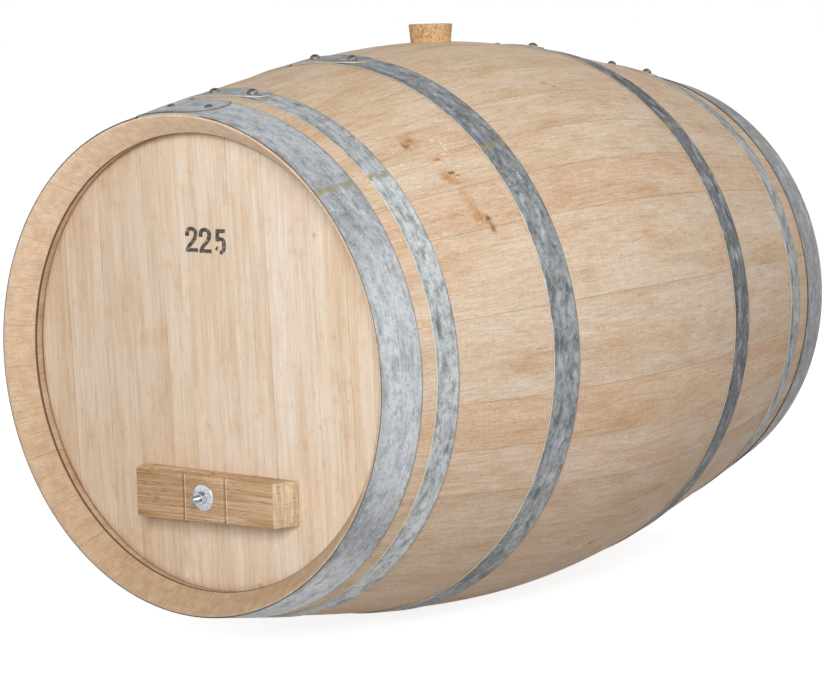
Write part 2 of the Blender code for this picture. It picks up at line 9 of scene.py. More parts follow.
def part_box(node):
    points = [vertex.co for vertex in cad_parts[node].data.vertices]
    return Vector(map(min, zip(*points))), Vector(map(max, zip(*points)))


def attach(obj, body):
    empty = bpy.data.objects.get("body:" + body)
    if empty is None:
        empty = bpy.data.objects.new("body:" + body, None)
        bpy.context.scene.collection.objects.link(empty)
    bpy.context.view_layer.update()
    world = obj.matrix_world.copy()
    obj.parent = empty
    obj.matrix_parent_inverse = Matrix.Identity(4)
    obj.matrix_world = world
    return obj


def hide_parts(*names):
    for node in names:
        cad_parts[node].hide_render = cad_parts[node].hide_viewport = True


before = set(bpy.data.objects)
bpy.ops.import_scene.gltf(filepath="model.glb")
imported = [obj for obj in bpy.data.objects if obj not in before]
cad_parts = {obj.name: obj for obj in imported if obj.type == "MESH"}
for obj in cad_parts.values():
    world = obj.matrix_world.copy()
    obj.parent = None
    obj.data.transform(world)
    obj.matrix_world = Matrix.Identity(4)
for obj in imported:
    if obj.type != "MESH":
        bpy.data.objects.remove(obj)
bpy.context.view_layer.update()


# Staves
# Each of the 28 staves is a plank of quarter-sawn oak that is bent over a fire, with its edges bevelled so
# that all of them close into a round. No glue or nail holds them: the hoops press joint against joint. Both
# ends are bevelled to the chime, with the croze groove behind it for the head.

STAVE_THICKNESS = 0.028
END_DROP = 0.065  # how much smaller the barrel's radius is at its ends than at its bilge
BEND = 4.19  # how tightly the staves are bent, per metre
CHIME_LIP = 0.002
CHIME_FOOT = 0.4442  # where the chime's bevel meets the inner face, from the barrel's middle
LIP_CUT = (0.4438, 0.4414)  # a narrow cut that the croze plane leaves in the lip before the croze
LIP_CUT_DEPTH = 0.003
LIP_CUT_SLANT = 0.0003  # how far each wall of the cut leans in
CROZE_MOUTH = (0.4312, 0.4209)
CROZE_FLOOR = (0.4303, 0.4222)
CROZE_DEPTH = 0.0035
STAVE_ARRIS = 0.0002
STAVE_COLUMN = 0.012  # the mesh is this fine across a stave
STAVE_STATIONS = 48
SOLID_SEAM = 0.0003  # the gap that the plain solids keep at their joints
SEAM = 0.0001  # the joints close tighter than that
JOINT_SHADE = 0.0008  # the shade in a joint reaches this far from it
BUNG_HOLE = (0.0212, 0.0268)  # radii of the hole's cutter at its foot and its top
BUNG_HOLE_DEPTH = 0.056
BUNG_HOLE_DROP = 0.0105  # the cutter's middle lies this far below the stave's face

near_corner, far_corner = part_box("bung_stave")
AXIS_HEIGHT = far_corner[2] / 2
BILGE_RADIUS = far_corner[2] - AXIS_HEIGHT
HALF_LENGTH = far_corner[1]


def linear(code):
    """A colour written as an sRGB hex value, in the linear values that the nodes take."""
    parts = [int(code[place:place + 2], 16) / 255 for place in (1, 3, 5)]
    return (*[part / 12.92 if part <= 0.04045 else ((part + 0.055) / 1.055) ** 2.4 for part in parts], 1.0)


def feed(tree, node, inputs):
    """Set a node's inputs, by name or number, to values, or link them from sockets or other nodes.

    A node gives the first of its outputs that its settings leave in use.
    """
    for place, value in inputs.items():
        if isinstance(value, bpy.types.Node):
            value = next(socket for socket in value.outputs if socket.enabled)
        if isinstance(value, bpy.types.NodeSocket):
            tree.links.new(value, node.inputs[place])
        else:
            node.inputs[place].default_value = value


def add_node(tree, kind, inputs=(), **settings):
    """Add a node, a shader node unless its kind says more, with its settings, and feed its inputs."""
    node = tree.nodes.new(kind if "Node" in kind else "ShaderNode" + kind)
    for setting, value in settings.items():
        setattr(node, setting, value)
    feed(tree, node, dict(inputs))
    return node


def outer_radius(y):
    """Radius of the barrel's outer face at a distance along its axis from the middle."""
    share = (math.hypot(1, BEND * y) - 1) / (math.hypot(1, BEND * HALF_LENGTH) - 1)
    return BILGE_RADIUS - END_DROP * share


def face_slant(y):
    """How much longer than level a step along the bent face is."""
    rise = END_DROP / (math.hypot(1, BEND * HALF_LENGTH) - 1) * BEND**2 * y / math.hypot(1, BEND * y)
    return math.hypot(1, rise)


def on_barrel(angle, radius, y):
    """A point at an angle from the bung towards +X, at a radius from the barrel's axis."""
    return Vector((radius * math.sin(angle), y, AXIS_HEIGHT + radius * math.cos(angle)))


def finished_mesh(draft, sharp_degrees=20):
    """The draft's shape with its modifiers as a plain mesh. The draft itself goes."""
    graph = bpy.context.evaluated_depsgraph_get()
    mesh = bpy.data.meshes.new_from_object(draft.evaluated_get(graph))
    bpy.data.objects.remove(draft)
    mesh.shade_smooth()
    mesh.set_sharp_from_angle(angle=math.radians(sharp_degrees))
    return mesh


def place_object(name, data):
    """A new object in the scene that holds the data."""
    holder = bpy.data.objects.new(name, data)
    bpy.context.scene.collection.objects.link(holder)
    return holder


def draft_from(bm, name="draft"):
    """An object with the bmesh's shape, its faces pointing out."""
    bmesh.ops.recalc_face_normals(bm, faces=bm.faces[:])
    mesh = bpy.data.meshes.new(name)
    bm.to_mesh(mesh)
    bm.free()
    return place_object(name, mesh)


def skinned(rings, closed=False):
    """A bmesh with faces from each ring of points to the next, ending flat, on points or in its start."""
    bm = bmesh.new()
    count = max(len(ring) for ring in rings)
    rings = [[bm.verts.new(point) for point in ring] for ring in rings]
    rings = [ring * count if len(ring) == 1 else ring for ring in rings]
    for ring, following in zip(rings, rings[1:] + (rings[:1] if closed else [])):
        for index in range(count):
            after = (index + 1) % count
            corners = (ring[index], ring[after], following[after], following[index])
            bm.faces.new(list(dict.fromkeys(corners)))
    for ring in () if closed else (rings[0], rings[-1]):
        if ring[0] != ring[1]:
            bm.faces.new(ring)
    return bm


def swept_from(bm, outline, way):
    """Sweep a flat outline along a way into a solid. The outline's own face is given back."""
    face = bm.faces.new([bm.verts.new(corner) for corner in outline])
    swept = bmesh.ops.extrude_face_region(bm, geom=[face])
    raised = [item for item in swept["geom"] if isinstance(item, bmesh.types.BMVert)]
    bmesh.ops.translate(bm, verts=raised, vec=way)
    return face


def break_edges(draft, width, degrees):
    """Round the draft's edges that are sharper than an angle."""
    arris = draft.modifiers.new("arris", "BEVEL")
    arris.width = width
    arris.segments = 2
    arris.limit_method = "ANGLE"
    arris.angle_limit = math.radians(degrees)


def fit_piece(name, mesh, material, body, slot, *nodes):
    """Put a finished piece on the body that carries it, in place of the plain solids that it stands for."""
    mesh.materials.clear()
    mesh.materials.append(material)
    piece = place_object(name, mesh)
    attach(piece, body)
    if nodes:
        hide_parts(*nodes)


def new_material(name):
    """A material, with its tree, its shader and the socket that gives the place in the scene."""
    material = bpy.data.materials.new(name)
    material.use_nodes = True
    tree = material.node_tree
    return material, tree, tree.nodes["Principled BSDF"], add_node(tree, "TexCoord").outputs["Object"]


def kept_values(tree, **labels):
    """What the mesh keeps on its points under these labels, each from the output for its kind."""
    sources = ((add_node(tree, "Attribute", attribute_name=label), kind) for label, kind in labels.items())
    return [source.outputs[kind] for source, kind in sources]


def lay_grain(
    tree, place, colour,
    size_mm, cut, tint, amount, detail=2.0, blend="MULTIPLY", mask=None, patches=0, ridged=False,
):
    """Tint a colour where noise of this size, across, along and deep in the wood, lies between the cuts.

    Ridged noise draws thin curling lines. Patches is the size of the areas that the figure keeps to.
    """
    per_metre = [1000 / size for size in size_mm]
    scaled = add_node(tree, "VectorMath", {0: place, 1: per_metre}, operation="MULTIPLY")
    figure = add_node(
        tree,
        "TexNoise",
        {"Vector": scaled, "Scale": 1.0, "Detail": detail, "Roughness": 0.55},
        noise_type="RIDGED_MULTIFRACTAL" if ridged else "FBM",
    )
    between = {"Value": figure, "From Min": cut[0], "From Max": cut[1], "To Max": amount}
    shown = add_node(tree, "MapRange", between)
    if patches:
        wide = add_node(tree, "TexNoise", {"Vector": place, "Scale": 1000 / patches, "Detail": 1.0})
        part = add_node(tree, "MapRange", {"Value": wide, "From Min": 0.48, "From Max": 0.6})
        shown = add_node(tree, "Math", {0: shown, 1: part}, operation="MULTIPLY")
    if mask:
        shown = add_node(tree, "Math", {0: shown, 1: mask}, operation="MULTIPLY")
    mix = {0: shown, 6: colour, 7: linear(tint)}
    return add_node(tree, "Mix", mix, data_type="RGBA", blend_type=blend), shown


def oak(
    name, layers, marks=(),
    end_from=0, end_tone=None, end_layers=(), painted_low_shade_tone=None, lip_shade_lines=(), roughness=0.62,
):
    """Bare planed oak, coloured by the tone of its board, with its figure along the board's length."""
    material, tree, shader, spots = new_material(name)
    board, lot, colour, joint = kept_values(tree, board="Vector", lot="Fac", tone="Color", joint="Fac")
    shift = add_node(tree, "VectorMath", {0: (3.1, 1.7, 0.9), "Scale": lot}, operation="SCALE")
    shifted = add_node(tree, "VectorMath", {0: board, 1: shift})
    # Each tree grew a little crooked, so the grain wanders by a few millimetres along a board
    wander = add_node(tree, "TexNoise", {"Vector": shifted, "Scale": 5.0, "Detail": 1.0})
    sideways = {0: wander.outputs["Color"], 1: (0.010, 0.0, 0.0), 2: shifted}
    place = add_node(tree, "VectorMath", sideways, operation="MULTIPLY_ADD")
    relief = None
    for layer in layers:
        colour, shown = lay_grain(tree, place, colour, *layer)
        relief = relief or shown
    if end_from:
        # Sawn across the grain the wood is darker and more orange, with fine lines along its rays
        parts = add_node(tree, "SeparateXYZ", {0: board}).outputs
        reach = add_node(tree, "Math", {0: parts["Y"]}, operation="ABSOLUTE")
        past = add_node(tree, "Math", {0: reach, 1: end_from}, operation="GREATER_THAN")
        inside = add_node(tree, "Math", {0: parts["Z"], 1: -0.0004}, operation="LESS_THAN")
        ends = add_node(tree, "Math", {0: past, 1: inside}, operation="MULTIPLY")
        colour = add_node(tree, "Mix", {0: ends, 6: colour, 7: linear(end_tone)}, data_type="RGBA")
        for layer in end_layers:
            colour, _ = lay_grain(tree, shifted, colour, *layer, 3.0, "MIX", ends)
        if painted_low_shade_tone:
            # Painted shade: the ends are painted darker towards the floor, where less light reaches them
            height = add_node(tree, "SeparateXYZ", {0: spots}).outputs["Z"]
            low_end_shade = add_node(tree, "MapRange", {"Value": height, "From Min": 0.68, "From Max": 0.22})
            low_end_shade = add_node(tree, "Math", {0: low_end_shade, 1: ends}, operation="MULTIPLY")
            mix = {0: low_end_shade, 6: colour, 7: linear(painted_low_shade_tone)}
            colour = add_node(tree, "Mix", mix, data_type="RGBA", blend_type="MULTIPLY")
        # Painted shade: dark lines across the lip at the chime's foot and in its cut
        for middle, half_width, tint, amount in lip_shade_lines:
            off = add_node(tree, "Math", {0: reach, 1: middle}, operation="SUBTRACT")
            off = add_node(tree, "Math", {0: off}, operation="ABSOLUTE")
            fade = {"Value": off, "From Min": half_width, "From Max": half_width / 2, "To Max": amount}
            line = add_node(tree, "MapRange", fade)
            line = add_node(tree, "Math", {0: line, 1: inside}, operation="MULTIPLY")
            colour = add_node(tree, "Mix", {0: line, 6: colour, 7: linear(tint)}, data_type="RGBA")
    ragged = add_node(tree, "TexNoise", {"Vector": spots, "Scale": 210.0, "Detail": 3.0, "Roughness": 0.6})
    uneven = add_node(tree, "Math", {0: ragged, 1: 1.5, 2: -0.65}, operation="MULTIPLY_ADD")
    for spot, across_mm, along_mm, tint, amount, soft in marks:
        away = add_node(tree, "VectorMath", {0: spots, 1: spot}, operation="SUBTRACT")
        shares = [1000 / across_mm, 1000 / along_mm, 1000 / across_mm]
        near = add_node(tree, "VectorMath", {0: away, 1: shares}, operation="MULTIPLY")
        distance = add_node(tree, "VectorMath", {0: near}, operation="LENGTH")
        spread = add_node(tree, "Math", {0: distance, 1: uneven})
        fade = {"Value": spread, "From Min": 1.0, "From Max": 1.0 - soft, "To Max": amount}
        shown = add_node(tree, "MapRange", fade, interpolation_type="SMOOTHSTEP")
        colour = add_node(tree, "Mix", {0: shown, 6: colour, 7: linear(tint)}, data_type="RGBA")
    # The broken edges of a joint hold a little dust and shade
    fade = {"Value": joint, "From Max": JOINT_SHADE, "To Min": 0.55, "To Max": 0.0}
    shade = add_node(tree, "MapRange", fade)
    # It isn't the same all along: some of it was sanded away with the face
    held = add_node(tree, "TexNoise", {"Vector": shifted, "Scale": 11.0, "Detail": 2.0})
    held = add_node(tree, "MapRange", {"Value": held, "From Min": 0.4, "From Max": 0.7, "To Min": 0.15})
    shade = add_node(tree, "Math", {0: shade, 1: held}, operation="MULTIPLY")
    colour = add_node(tree, "Mix", {0: shade, 6: colour, 7: linear("#8a6440")}, data_type="RGBA")
    bump = add_node(tree, "Bump", {"Height": relief, "Strength": 0.25, "Distance": 0.0003}, invert=True)
    feed(tree, shader, {"Base Color": colour, "Roughness": roughness, "Normal": bump})
    return material


def stave_draft(width):
    """A stave before it is bent: flat, with its outer face at height 0, x across it and y along it."""
    stations = [HALF_LENGTH * (2 * step / STAVE_STATIONS - 1) for step in range(STAVE_STATIONS + 1)]
    end = [
        (HALF_LENGTH, -CHIME_LIP),
        (CHIME_FOOT, -STAVE_THICKNESS),
        (LIP_CUT[0], -STAVE_THICKNESS),
        (LIP_CUT[0] - LIP_CUT_SLANT, LIP_CUT_DEPTH - STAVE_THICKNESS),
        (LIP_CUT[1] + LIP_CUT_SLANT, LIP_CUT_DEPTH - STAVE_THICKNESS),
        (LIP_CUT[1], -STAVE_THICKNESS),
        (CROZE_MOUTH[0], -STAVE_THICKNESS),
        (CROZE_FLOOR[0], CROZE_DEPTH - STAVE_THICKNESS),
        (CROZE_FLOOR[1], CROZE_DEPTH - STAVE_THICKNESS),
        (CROZE_MOUTH[1], -STAVE_THICKNESS),
    ]
    inside = [(-y, -STAVE_THICKNESS) for y in stations if abs(y) < CROZE_MOUTH[1] - 0.005]
    outline = [(y, 0) for y in stations] + end + inside + [(-y, depth) for y, depth in reversed(end)]
    columns = max(4, round(width / STAVE_COLUMN))
    shares = [column / columns - 0.5 for column in range(columns + 1)]
    return draft_from(skinned([[(width * share, y, depth) for y, depth in outline] for share in shares]))


def new_tree(name, inputs):
    """A geometry tree with its inputs and one output, and the sockets that give the inputs."""
    tree = bpy.data.node_groups.new(name, "GeometryNodeTree")
    for label, kind in inputs.items():
        tree.interface.new_socket(label, in_out="INPUT", socket_type="NodeSocket" + kind)
    tree.interface.new_socket("Shape", in_out="OUTPUT", socket_type="NodeSocketGeometry")
    return tree, add_node(tree, "NodeGroupInput").outputs


def close_tree(tree, shape, material):
    """End a geometry tree in real geometry of one material."""
    real = add_node(tree, "GeometryNodeRealizeInstances", {"Geometry": shape})
    dressed = add_node(tree, "GeometryNodeSetMaterial", {"Geometry": real, "Material": material})
    add_node(tree, "NodeGroupOutput", {"Shape": dressed})


# The tree that bends a flat stave round the barrel and keeps each point's place on the board for the grain
MEASURES = ("Angle", "Axis Height", "Bilge Radius", "End Drop", "Bend", "Half Length", "Half Width", "Lot")
bent_stave, given = new_tree(
    "bent_stave",
    {"Board": "Geometry", **dict.fromkeys(MEASURES, "Float"), "Tone": "Color", "Wood": "Material"},
)
flat = add_node(bent_stave, "SeparateXYZ", {0: add_node(bent_stave, "GeometryNodeInputPosition")})
known = {label: flat.outputs[label] for label in "XYZ"}
known.update({socket.name: socket for socket in given})
for result, operation, *terms in (
    # The barrel's curve is a hyperbola: its arm here and at the ends, and the radius that follows
    ("bent", "MULTIPLY", "Y", "Bend"),
    ("bent squared", "MULTIPLY_ADD", "bent", "bent", 1.0),
    ("arm", "SQRT", "bent squared"),
    ("end", "MULTIPLY", "Half Length", "Bend"),
    ("end squared", "MULTIPLY_ADD", "end", "end", 1.0),
    ("end arm", "SQRT", "end squared"),
    ("end rise", "SUBTRACT", "end arm", 1.0),
    ("rise", "SUBTRACT", "arm", 1.0),
    ("steepness", "DIVIDE", "End Drop", "end rise"),
    ("fall", "MULTIPLY", "rise", "steepness"),
    ("face radius", "SUBTRACT", "Bilge Radius", "fall"),
    # The stave's thickness is measured square to its bent face
    ("slope", "DIVIDE", "bent", "arm"),
    ("slope per bend", "MULTIPLY", "slope", "steepness"),
    ("true slope", "MULTIPLY", "slope per bend", "Bend"),
    ("slant squared", "MULTIPLY_ADD", "true slope", "true slope", 1.0),
    ("slant", "SQRT", "slant squared"),
    ("radius", "MULTIPLY_ADD", "Z", "slant", "face radius"),
    ("turned", "DIVIDE", "X", "Bilge Radius"),
    ("turn", "ADD", "turned", "Angle"),
    ("sine", "SINE", "turn"),
    ("cosine", "COSINE", "turn"),
    ("new x", "MULTIPLY", "sine", "radius"),
    ("new z", "MULTIPLY_ADD", "cosine", "radius", "Axis Height"),
    ("across", "MULTIPLY", "turned", "face radius"),
    ("off middle", "ABSOLUTE", "X"),
    ("to joint", "SUBTRACT", "Half Width", "off middle"),
):
    values = {place: known.get(term, term) for place, term in enumerate(terms)}
    known[result] = add_node(bent_stave, "Math", values, operation=operation).outputs[0]
on_board = add_node(bent_stave, "CombineXYZ", {0: known["across"], 1: known["Y"], 2: known["Z"]})
shape = given["Board"]
for label, value, kind in (
    ("board", on_board, "FLOAT_VECTOR"),
    ("lot", given["Lot"], "FLOAT"),
    ("tone", given["Tone"], "FLOAT_COLOR"),
    ("joint", known["to joint"], "FLOAT"),
):
    stored = {"Geometry": shape, "Name": label, "Value": value}
    shape = add_node(bent_stave, "GeometryNodeStoreNamedAttribute", stored, data_type=kind, domain="POINT")
bent_place = add_node(bent_stave, "CombineXYZ", {0: known["new x"], 1: known["Y"], 2: known["new z"]})
shape = add_node(bent_stave, "GeometryNodeSetPosition", {"Geometry": shape, "Position": bent_place})
close_tree(bent_stave, shape, given["Wood"])


def set_inputs(modifier, **values):
    """Set a tree's named inputs on its modifier, where an underscore stands for a space."""
    places = {item.name: item.identifier for item in modifier.node_group.interface.items_tree}
    for label, value in values.items():
        modifier[places[label.replace("_", " ")]] = value


def on_face(y_mm, degrees):
    """The point of the barrel's outer face at a place along it and an angle from the bung towards +X."""
    return on_barrel(math.radians(degrees), outer_radius(y_mm / 1000), y_mm / 1000)


# A layer of grain: its size across, along and deep in mm, its cuts, tint, amount, detail, way of mixing,
# mask, the size of its patches in mm, and whether it is ridged
STAVE_GRAIN = (
    # Year rings met edge on: fine straight lines, 1 to 2 mm apart
    ((1.4, 26, 9), (0.32, 0.72), "#dcc8ae", 0.65, 4.0),
    ((5, 70, 30), (0.42, 0.7), "#ead7c1", 0.5, 3.0),
    ((40, 300, 90), (0.4, 0.65), "#ecdcc7", 0.6),
    # Pores, drawn a little coarser than they are so that they show
    ((0.9, 7, 5), (0.57, 0.72), "#c8a985", 0.6),
    # Wood between the pores, a paler hair-line
    ((1.1, 12, 7), (0.58, 0.72), "#efe0cc", 0.5, 2.0, "MIX"),
    # Rays of quarter-sawn oak: short pale flecks and, in patches, thin curls
    ((2.0, 9, 9), (0.64, 0.69), "#f3e7d6", 0.4, 1.0, "MIX", None, 90),
    ((15, 24, 20), (0.93, 0.98), "#f2e4d2", 0.55, 0.0, "MIX", None, 70, True),
    # Handling leaves the wood warmer in cloudy patches
    ((30, 70, 60), (0.5, 0.7), "#edd5bb", 0.5, 4.0),
    # The barrel is sanded while it turns, which leaves faint marks round it
    ((16, 1.1, 16), (0.5, 0.78), "#d2b998", 0.4, 3.0),
)
KNOT = "#77502b"
HALO = "#b27c45"
# A mark: its place along the stave in mm and round it in degrees, its size across and along in mm, its tint,
# its amount and the soft share of it
STAVE_MARKS = (
    (-306, 38.8, 20, 20, HALO, 0.75, 0.95),
    (-314, 39.8, 10, 10, "#8f6433", 0.9, 0.9),
    (-303, 38.6, 5, 7, "#a8753f", 0.8, 0.8),
    (-290, 44.9, 3.5, 11, "#b97f45", 1.0, 0.8),
    (-292, 49.3, 14, 18, "#b8834a", 0.95, 0.95),
    (-284, 51.0, 8, 14, "#bd8b56", 0.7, 0.9),
    (-284, 48.7, 3, 8, KNOT, 1.0, 0.7),
    (-277, 49.6, 2.2, 6, "#8f6136", 0.9, 0.8),
    (-285, 54.3, 18, 14, "#c3925f", 0.65, 0.95),
    (-284, 57.0, 22, 15, "#c3925f", 0.7, 0.95),
    (-281, 59.6, 16, 14, "#b5803f", 0.85, 0.95),
    (-270, 60.2, 7, 8, "#7b522c", 1.0, 0.8),
    (-269, 62.3, 13, 7, "#a47040", 1.0, 0.85),
    (-15, 31, 4, 12, HALO, 0.7, 0.8),
    (-5, 32.5, 2, 6, KNOT, 0.6, 0.8),
    (120, 37, 3, 10, HALO, 0.8, 0.8),
    (-10, 138, 5, 8, KNOT, 0.9, 0.8),
    # Pale splinter marks and a curl of chalk
    (85, 38, 1.6, 14, "#e9cfae", 0.8, 0.8),
    (92, 40.5, 1.6, 12, "#c99a67", 0.5, 0.8),
    (96, 43.5, 1.6, 12, "#c99a67", 0.5, 0.8),
    (-274, 40.1, 2.6, 8, "#efe6d8", 0.8, 0.9),
    (-266, 41.4, 6, 3, "#efe6d8", 0.8, 0.9),
    (-267, 42.9, 6, 3, "#efe6d8", 0.8, 0.9),
    (-275, 44.0, 2.6, 8, "#efe6d8", 0.7, 0.9),
)
# The foot of the chime and the cut in the lip hold some toasting and dust, but their dark lines are mostly
# painted shade, standing in for the shade in the cut and behind the foot's edge
LIP_SHADE_LINES = ((CHIME_FOOT + 0.0002, 0.0012, "#543720", 0.9), (sum(LIP_CUT) / 2, 0.0017, "#5a3d24", 0.85))
STAVE_END_GRAIN = (
    ((1.3, 40, 12), (0.45, 0.7), "#c9a179", 0.55),
    ((16, 40, 9), (0.4, 0.65), "#dcb591", 0.5),
    ((12, 40, 10), (0.5, 0.7), "#e0c4ab", 0.6),
    ((0.9, 3, 1.6), (0.56, 0.72), "#b3885c", 0.6),
    ((1.5, 8, 5), (0.68, 0.76), "#8f6137", 0.7),
)
STAVE_OAK = oak(
    "bare_planed_stave_oak",
    STAVE_GRAIN,
    [(on_face(y_mm, degrees), *look) for y_mm, degrees, *look in STAVE_MARKS],
    end_from=CHIME_FOOT - 0.0004,
    end_tone="#fbe4ca",
    end_layers=STAVE_END_GRAIN,
    # Painted shade: the stave ends darken towards the floor
    painted_low_shade_tone="#d2cabd",
    lip_shade_lines=LIP_SHADE_LINES,
)

# Tones that the photographed staves show, from the bung down the side towards +X. The rest take one of them
# by chance
SEEN_TONES = {
    "bung_stave": "#e7d5bf",
    "stave_right_01": "#e6d4bd",
    "stave_right_02": "#e7d5bf",
    "stave_right_03": "#e5d3bd",
    "stave_right_04": "#e7d6c2",
    "stave_right_05": "#e5ceb7",
    "stave_right_06": "#eadac7",
    "stave_right_07": "#e9d9c7",
    "stave_right_08": "#ebd3bb",
    "stave_right_09": "#ebd7c5",
    "stave_right_10": "#e1cfba",
    "stave_right_11": "#e0cfbc",
}
oak_lots = random.Random(225)
OTHER_TONES = sorted(set(SEEN_TONES.values()))

for name in sorted(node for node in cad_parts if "stave" in node):
    corners = [vertex.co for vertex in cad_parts[name].data.vertices]
    middle = sum(corners, Vector()) / len(corners)
    middle_angle = math.atan2(middle.x, middle.z - AXIS_HEIGHT)
    offsets = []
    for corner in corners:
        turned = math.atan2(corner.x, corner.z - AXIS_HEIGHT) - middle_angle
        offsets.append((turned + math.pi) % math.tau - math.pi)
    width = (max(offsets) - min(offsets)) * BILGE_RADIUS + SOLID_SEAM - SEAM
    draft = stave_draft(width)
    if name == "bung_stave":
        # The bung's hole is a taper, cut while the stave is flat, so its cutter is flattened as the stave is
        hole = bmesh.new()
        low_radius, high_radius = BUNG_HOLE
        bmesh.ops.create_cone(
            hole, cap_ends=True, segments=96, radius1=low_radius, radius2=high_radius, depth=BUNG_HOLE_DEPTH
        )
        for corner in hole.verts:
            x, y, z = corner.co.x, corner.co.y, corner.co.z + BILGE_RADIUS - BUNG_HOLE_DROP
            depth = (math.hypot(x, z) - outer_radius(y)) / face_slant(y)
            corner.co = (math.atan2(x, z) * BILGE_RADIUS, y, depth)
        cutter = draft_from(hole)
        draft.modifiers.new("bung_hole", "BOOLEAN").object = cutter
    break_edges(draft, STAVE_ARRIS, 25)
    tone = linear(SEEN_TONES.get(name) or oak_lots.choice(OTHER_TONES))
    bend = draft.modifiers.new("bend", "NODES")
    bend.node_group = bent_stave
    set_inputs(
        bend,
        Angle=middle_angle + (max(offsets) + min(offsets)) / 2,
        Axis_Height=AXIS_HEIGHT,
        Bilge_Radius=BILGE_RADIUS,
        End_Drop=END_DROP,
        Bend=BEND,
        Half_Length=HALF_LENGTH,
        Half_Width=width / 2,
        Lot=oak_lots.random(),
        Tone=tone,
        Wood=STAVE_OAK,
    )
    fit_piece("oak_" + name, finished_mesh(draft), STAVE_OAK, "barrel", "stave_oak", name)
    if name == "bung_stave":
        bpy.data.objects.remove(cutter)


# Heads
# Each head is a round of straight oak boards, dowelled edge to edge and planed flat. Its rim is bevelled on
# both faces to a tongue that is sprung into the croze, where nothing else fixes it.

HEAD_FACE = 0.4325
HEAD_LEVELS = (  # depth and radius
    (0.0, 0.2515),
    (0.0, 0.2555),
    (0.0016, 0.2610),
    (0.0048, 0.2664),
    (0.010, 0.2664),
    (0.022, 0.2450),
)
HEAD_ARRIS = 0.0004  # the edges of its boards are broken by this much
BEYOND_RIM = 0.3  # where the outermost boards would end if the rim didn't end them
HEAD_RIM = 0.2612  # the shade of the croze starts here
RIM_SIDES = 256
HEAD_GRAIN = (
    ((1.9, 70, 15), (0.35, 0.72), "#e3cfb5", 0.5, 4.0),
    ((7, 190, 50), (0.42, 0.7), "#ead8c2", 0.5, 3.0),
    ((34, 220, 90), (0.42, 0.65), "#eedfcc", 0.6, 3.0),
    ((1.0, 12, 9), (0.58, 0.74), "#cbae8b", 0.45),
    ((1.3, 30, 9), (0.58, 0.72), "#f3e9db", 0.4, 3.0, "MIX"),
    ((26, 34, 60), (0.56, 0.75), "#ebd3b6", 0.5, 5.0),
)
FRONT_TONES = ("#e3d2be", "#e5d5c3", "#e3d2bf", "#eddfcf", "#efe2d3", "#f0e3d5", "#f0e2d2", "#ecdbc7")


def on_head(x_mm, height_mm):
    """The point of the near head's face at a place from its middle."""
    return Vector((x_mm / 1000, -HEAD_FACE, AXIS_HEIGHT + height_mm / 1000))


def places_on_head(mesh, side, across, along):
    """Where each point of a mesh lies on a head: across and along its boards, and above their face."""
    spots = [vertex.co - Vector((0, 0, AXIS_HEIGHT)) for vertex in mesh.vertices]
    return [(spot.dot(across), spot.dot(along), side * spot.y - HEAD_FACE) for spot in spots]


def board_ways(turn):
    """The directions across and along the boards of a head that is turned a little."""
    return Vector((math.cos(turn), 0, -math.sin(turn))), Vector((math.sin(turn), 0, math.cos(turn)))


# Marks in the same order, placed in mm across and up from the middle of the head
HEAD_MARKS = (
    (-150, 196, 16, 26, "#c79a69", 0.4, 0.95),
    (-112, 222, 14, 14, "#d1a97b", 0.35, 0.95),
    (-213, 20, 9, 60, "#cda679", 0.35, 0.95),
    (163, 150, 6, 26, "#c08650", 0.5, 0.9),
    (186, 40, 5, 18, "#c99460", 0.5, 0.9),
    (186, -30, 9, 30, "#cf9c68", 0.3, 0.95),
    (120, -150, 16, 60, "#dbb78f", 0.35, 0.95),
    (70, -250, 9, 9, "#a9713f", 0.55, 0.9),
    (-41, -250, 2.5, 2.5, "#f6efe4", 0.8, 0.5),
    (163, -60, 5, 90, "#c98f5c", 0.35, 0.9),
    (166, 40, 4, 70, "#c98f5c", 0.25, 0.9),
)
head_marks = [(on_head(x_mm, height_mm), *look) for x_mm, height_mm, *look in HEAD_MARKS]
HEAD_OAK = oak("bare_planed_head_oak", HEAD_GRAIN, head_marks)


def keep_on_points(mesh, **values):
    """Keep named numbers, vectors or colours on a mesh's points for its material to read."""
    for label, items in values.items():
        first = items[0]
        kind = "FLOAT" if isinstance(first, float) else "FLOAT_VECTOR" if len(first) == 3 else "FLOAT_COLOR"
        field = {"FLOAT": "value", "FLOAT_VECTOR": "vector", "FLOAT_COLOR": "color"}[kind]
        attribute = mesh.attributes.new(label, kind, "POINT")
        flat_list = items if kind == "FLOAT" else [part for item in items for part in item]
        attribute.data.foreach_set(field, flat_list)


def keep_board(mesh, places, limits, lot, tone):
    """Keep a board's grain coordinates, its lot and its tone, and how far each point is from a joint."""
    low, high = limits
    count = len(places)
    keep_on_points(
        mesh,
        board=places,
        joint=[float(min(x - low, high - x, HEAD_RIM - math.hypot(x, y))) for x, y, _ in places],
        lot=[lot] * count,
        tone=tone if isinstance(tone, list) else [tone] * count,
    )


